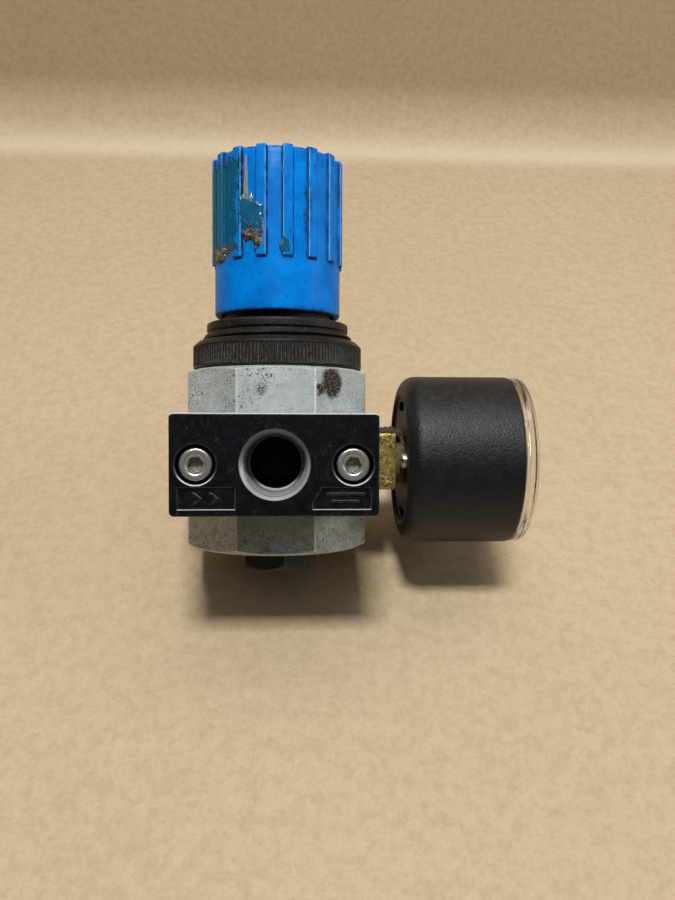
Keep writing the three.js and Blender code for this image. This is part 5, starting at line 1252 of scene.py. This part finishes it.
# blanking plug of the second gauge port
bp = lathe("gauge_port_blanking_plug", [(0, 11.5), (3.8, 11.5)] + [(4.3 - 0.32 * (k % 2), 12.0 + 0.45 * k) for k in range(20)] + [(4.3, 21.4), (4.3, 21.6), (6.85, 21.6), (7.0, 21.75), (7.0, 22.9), (6.93, 23.2), (6.75, 23.42), (6.5, 23.5), (3.6, 23.5), (3.35, 23.4), (3.1, 23.15), (0, 23.15)], n=96, closed=False, axis="-X", offset=G0)
hx = gprism("t", ngon(6, 5.0, 20), -24.0, -20.0)
boolean(bp, [hx])
tidy(bp, 34, mat=M["plate"])
finish_piece(bp, "regulator", "black_coated", "gauge_port_plug")

# ---------------------------------------------------------------- carried-over CAD nodes
use = {
    "outlet_plate_seal": "rubber", "inlet_plate_seal": "rubber", "bottom_plug_seal": "rubber", "valve_seat_seal": "rubber", "diaphragm": "rubber",
    "gauge_port_plug_seal": "rubber", "gauge_seal": "rubber", "valve_spring": "spring", "regulating_spring": "spring", "hairspring": "spring",
    "valve_poppet": "brass", "diaphragm_plate": "brass", "relief_seat": "brass", "spring_nut": "brass", "bourdon_tube": "brass", "movement_frame": "brass",
    "sector_gear": "brass", "tube_link": "brass", "adjusting_spindle": "steel", "pinion": "steel", "movement_screw_front": "steel", "movement_screw_rear": "steel",
    "dial_screw_front": "steel", "dial_screw_rear": "steel", "zero_stop_pin": "steel", "thrust_washer": "white", "gauge_dial": "dial",
}
ROUND = {"valve_spring": 0, "regulating_spring": 0, "hairspring": 0, "outlet_plate_seal": 0, "inlet_plate_seal": 0, "bottom_plug_seal": 0, "bourdon_tube": 0.1,
         "pinion": 0.03, "sector_gear": 0.05, "tube_link": 0.05, "zero_stop_pin": 0.05, "dial_screw_front": 0.06, "dial_screw_rear": 0.06,
         "movement_screw_front": 0.06, "movement_screw_rear": 0.06, "gauge_dial": 0.06, "valve_seat_seal": 0.05, "diaphragm": 0.1}
for name, key in use.items():
    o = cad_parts[name]
    o.data.materials.clear()
    o.data.materials.append(M[key])
    for p in o.data.polygons:
        p.material_index = 0
    o.data.shade_smooth()
    o.data.set_sharp_from_angle(angle=math.radians(50 if ROUND.get(name, 1) == 0 else 34))
    w = ROUND.get(name, 0.15)
    if w:
        b = o.modifiers.new("edges", "BEVEL")
        b.width, b.segments, b.limit_method, b.angle_limit = w * MM, 2, "ANGLE", math.radians(40)
        b.use_clamp_overlap = True
        b.harden_normals = False

# ---------------------------------------------------------------- stage, light, camera
def floor_material():
    g = Graph("pale_floor")
    n1, n2, n3 = g.noise(0.012, 4), g.noise(0.35, 6, 0.6), g.noise(2.2, 4)
    fib = g.noise(0.5, 5, 0.6, g.vmath("MULTIPLY", g.noise_vec(0.2, 3), (1.0, 1.0, 0.3)))
    col = g.mix(n1, srgb(206, 186, 155), srgb(196, 175, 143))
    col = g.mix(g.mul(g.step(n2, 0.38, 0.68), 0.5), col, srgb(180, 158, 126))
    col = g.mix(g.mul(g.step(g.noise(1.1, 6, 0.75), 0.5, 0.64), 0.3), col, srgb(164, 140, 108))
    # painted highlight along the bend of the sheet
    run = g.m("ADD", g.m("MULTIPLY", g.y, 0.7164), g.m("MULTIPLY", g.z, 0.6977))
    col = g.mix(g.mul(g.band(run, 240.0, 252.0, 9.0), 0.5), col, srgb(240, 226, 204))
    col = g.mix(g.mul(g.step(fib, 0.5, 0.75), 0.3), col, srgb(216, 198, 170))
    b = g.nt.nodes.new("ShaderNodeBsdfPrincipled")
    g.put(b.inputs["Base Color"], col)
    b.inputs["Roughness"].default_value = 0.85
    g.put(b.inputs["Normal"], g.bump(g.m("ADD", n2, g.m("MULTIPLY", n3, 0.5)), 0.12))
    # seen from its far side, the floor lets the background through
    t = g.nt.nodes.new("ShaderNodeBsdfTransparent")
    geo = g.nt.nodes.new("ShaderNodeNewGeometry")
    fade = g.step(g.vmath("LENGTH", g.vmath("MULTIPLY", g.p, (1, 0, 1))), 420.0, 900.0)
    sh = g.nt.nodes.new("ShaderNodeMixShader")
    g.nt.links.new(g.mx(geo.outputs["Backfacing"], 0.0), sh.inputs[0])
    g.nt.links.new(b.outputs[0], sh.inputs[1])
    g.nt.links.new(t.outputs[0], sh.inputs[2])
    g.nt.links.new(sh.outputs[0], g.out.inputs[0])
    return g.mat


# The sheet touches the rear lower edges of the housing and of the rear port plate, then bends up behind the object.
TILT = math.atan2(11.2, 11.5)
ct, st = math.cos(TILT), math.sin(TILT)
OFF = 10.35 + 0.08


def sheet_point(t, h):
    """Point (y, z) at distance t up the sheet and h above it."""
    return t * ct + (OFF - h) * st, t * st - (OFF - h) * ct


prof = [(-700.0, 0.0), (-300.0, 0.0), (-100.0, 0.0), (60.0, 0.0), (240.0, 0.0)]
for k in range(1, 17):
    a = PI / 2 * k / 16
    prof.append((240.0 + 26.0 * math.sin(a), 26.0 * (1 - math.cos(a))))
prof += [(266.0, 200.0), (266.0, 520.0)]
verts, faces = [], []
for t, h in prof:
    y, z = sheet_point(t, h)
    verts += [(MM * -620.0, MM * y, MM * z), (MM * 620.0, MM * y, MM * z)]
for k in range(len(prof) - 1):
    faces.append((2 * k, 2 * k + 1, 2 * k + 3, 2 * k + 2))
me = bpy.data.meshes.new("floor")
me.from_pydata(verts, [], faces)
me.materials.append(floor_material())
floor = bpy.data.objects.new("floor", me)
bpy.context.scene.collection.objects.link(floor)
me.update()
if me.polygons[0].normal.z < 0:
    me.flip_normals()
for p in me.polygons:
    p.use_smooth = True

scene = bpy.context.scene
scene.view_settings.view_transform = "Standard"
scene.view_settings.look = "None"
scene.view_settings.exposure = 0.0
world = bpy.data.worlds.new("studio")
scene.world = world
world.use_nodes = True
nt = world.node_tree
nt.nodes.clear()


def wnode(kind, *links, **props):
    n = nt.nodes.new(kind)
    for k, v in props.items():
        setattr(n, k, v)
    for i, v in enumerate(links):
        if hasattr(v, "is_output"):
            nt.links.new(v, n.inputs[i])
        elif v is not None:
            n.inputs[i].default_value = v
    return n


wsep = wnode("ShaderNodeSeparateXYZ", wnode("ShaderNodeTexCoord").outputs["Generated"])
# soft room: bright overhead, dim in front of the object, a little light from the right
overhead = wnode("ShaderNodeMapRange", wsep.outputs["Z"], -0.15, 0.95, 0.018, 0.17, interpolation_type="SMOOTHSTEP").outputs[0]
sideways = wnode("ShaderNodeMapRange", wsep.outputs["X"], -0.6, 0.9, 0.0, 0.04, interpolation_type="SMOOTHSTEP").outputs[0]
behind = wnode("ShaderNodeMapRange", wsep.outputs["Y"], 0.1, 0.8, 0.0, 0.2, interpolation_type="SMOOTHSTEP").outputs[0]
total = wnode("ShaderNodeMath", wnode("ShaderNodeMath", overhead, sideways, operation="ADD").outputs[0], behind, operation="ADD").outputs[0]
room = wnode("ShaderNodeBackground", (1.0, 0.985, 0.96, 1), total)
seen = wnode("ShaderNodeBackground", (0.66, 0.58, 0.47, 1), 1.0)
lpw = wnode("ShaderNodeLightPath")
mixw = wnode("ShaderNodeMixShader", lpw.outputs["Is Camera Ray"], room.outputs[0], seen.outputs[0])
wnode("ShaderNodeOutputWorld", mixw.outputs[0])


def area(name, loc, target, size, power, color=(1, 1, 1), size_y=None):
    ld = bpy.data.lights.new(name, "AREA")
    ld.energy, ld.color, ld.size = power, color, size * MM
    if size_y:
        ld.shape, ld.size_y = "RECTANGLE", size_y * MM
    ob = bpy.data.objects.new(name, ld)
    scene.collection.objects.link(ob)
    ob.location = Vector(loc) * MM
    ob.rotation_mode = "QUATERNION"
    ob.rotation_quaternion = (Vector(target) - Vector(loc)).to_track_quat("-Z", "Y")
    return ob


area("key", (-40, -760, 690), (0, 0, 25), 190, 8.3, (1.0, 0.985, 0.96), 120)
area("top", (60, -420, 900), (0, 0, 30), 700, 1.7, (1.0, 0.985, 0.97), 320)
area("fill", (640, -190, 210), (30, 0, 35), 260, 0.75, (0.95, 0.98, 1.0))
area("back", (-260, 560, 300), (0, 0, 40), 300, 4.6, (1.0, 0.98, 0.95))

cam_data = bpy.data.cameras.new("camera")
cam = bpy.data.objects.new("camera", cam_data)
scene.collection.objects.link(cam)
cam_data.sensor_fit = "AUTO"
cam_data.sensor_width = 36.0
cam_data.lens = 31.491
cam_data.clip_start, cam_data.clip_end = 0.01, 20.0
cam.location = Vector((3.576, -191.396, 32.897)) * MM
yaw, pitch, roll = math.radians(3.277), math.radians(1.3945), math.radians(0.143)
fwd = Vector((math.sin(yaw) * math.cos(pitch), math.cos(yaw) * math.cos(pitch), -math.sin(pitch)))
right = fwd.cross(Vector((0, 0, 1))).normalized()
up = right.cross(fwd)
r2 = right * math.cos(roll) + up * math.sin(roll)
u2 = up * math.cos(roll) - right * math.sin(roll)
cam.rotation_mode = "QUATERNION"
cam.rotation_quaternion = Matrix((r2, u2, -fwd)).transposed().to_quaternion()
scene.camera = cam
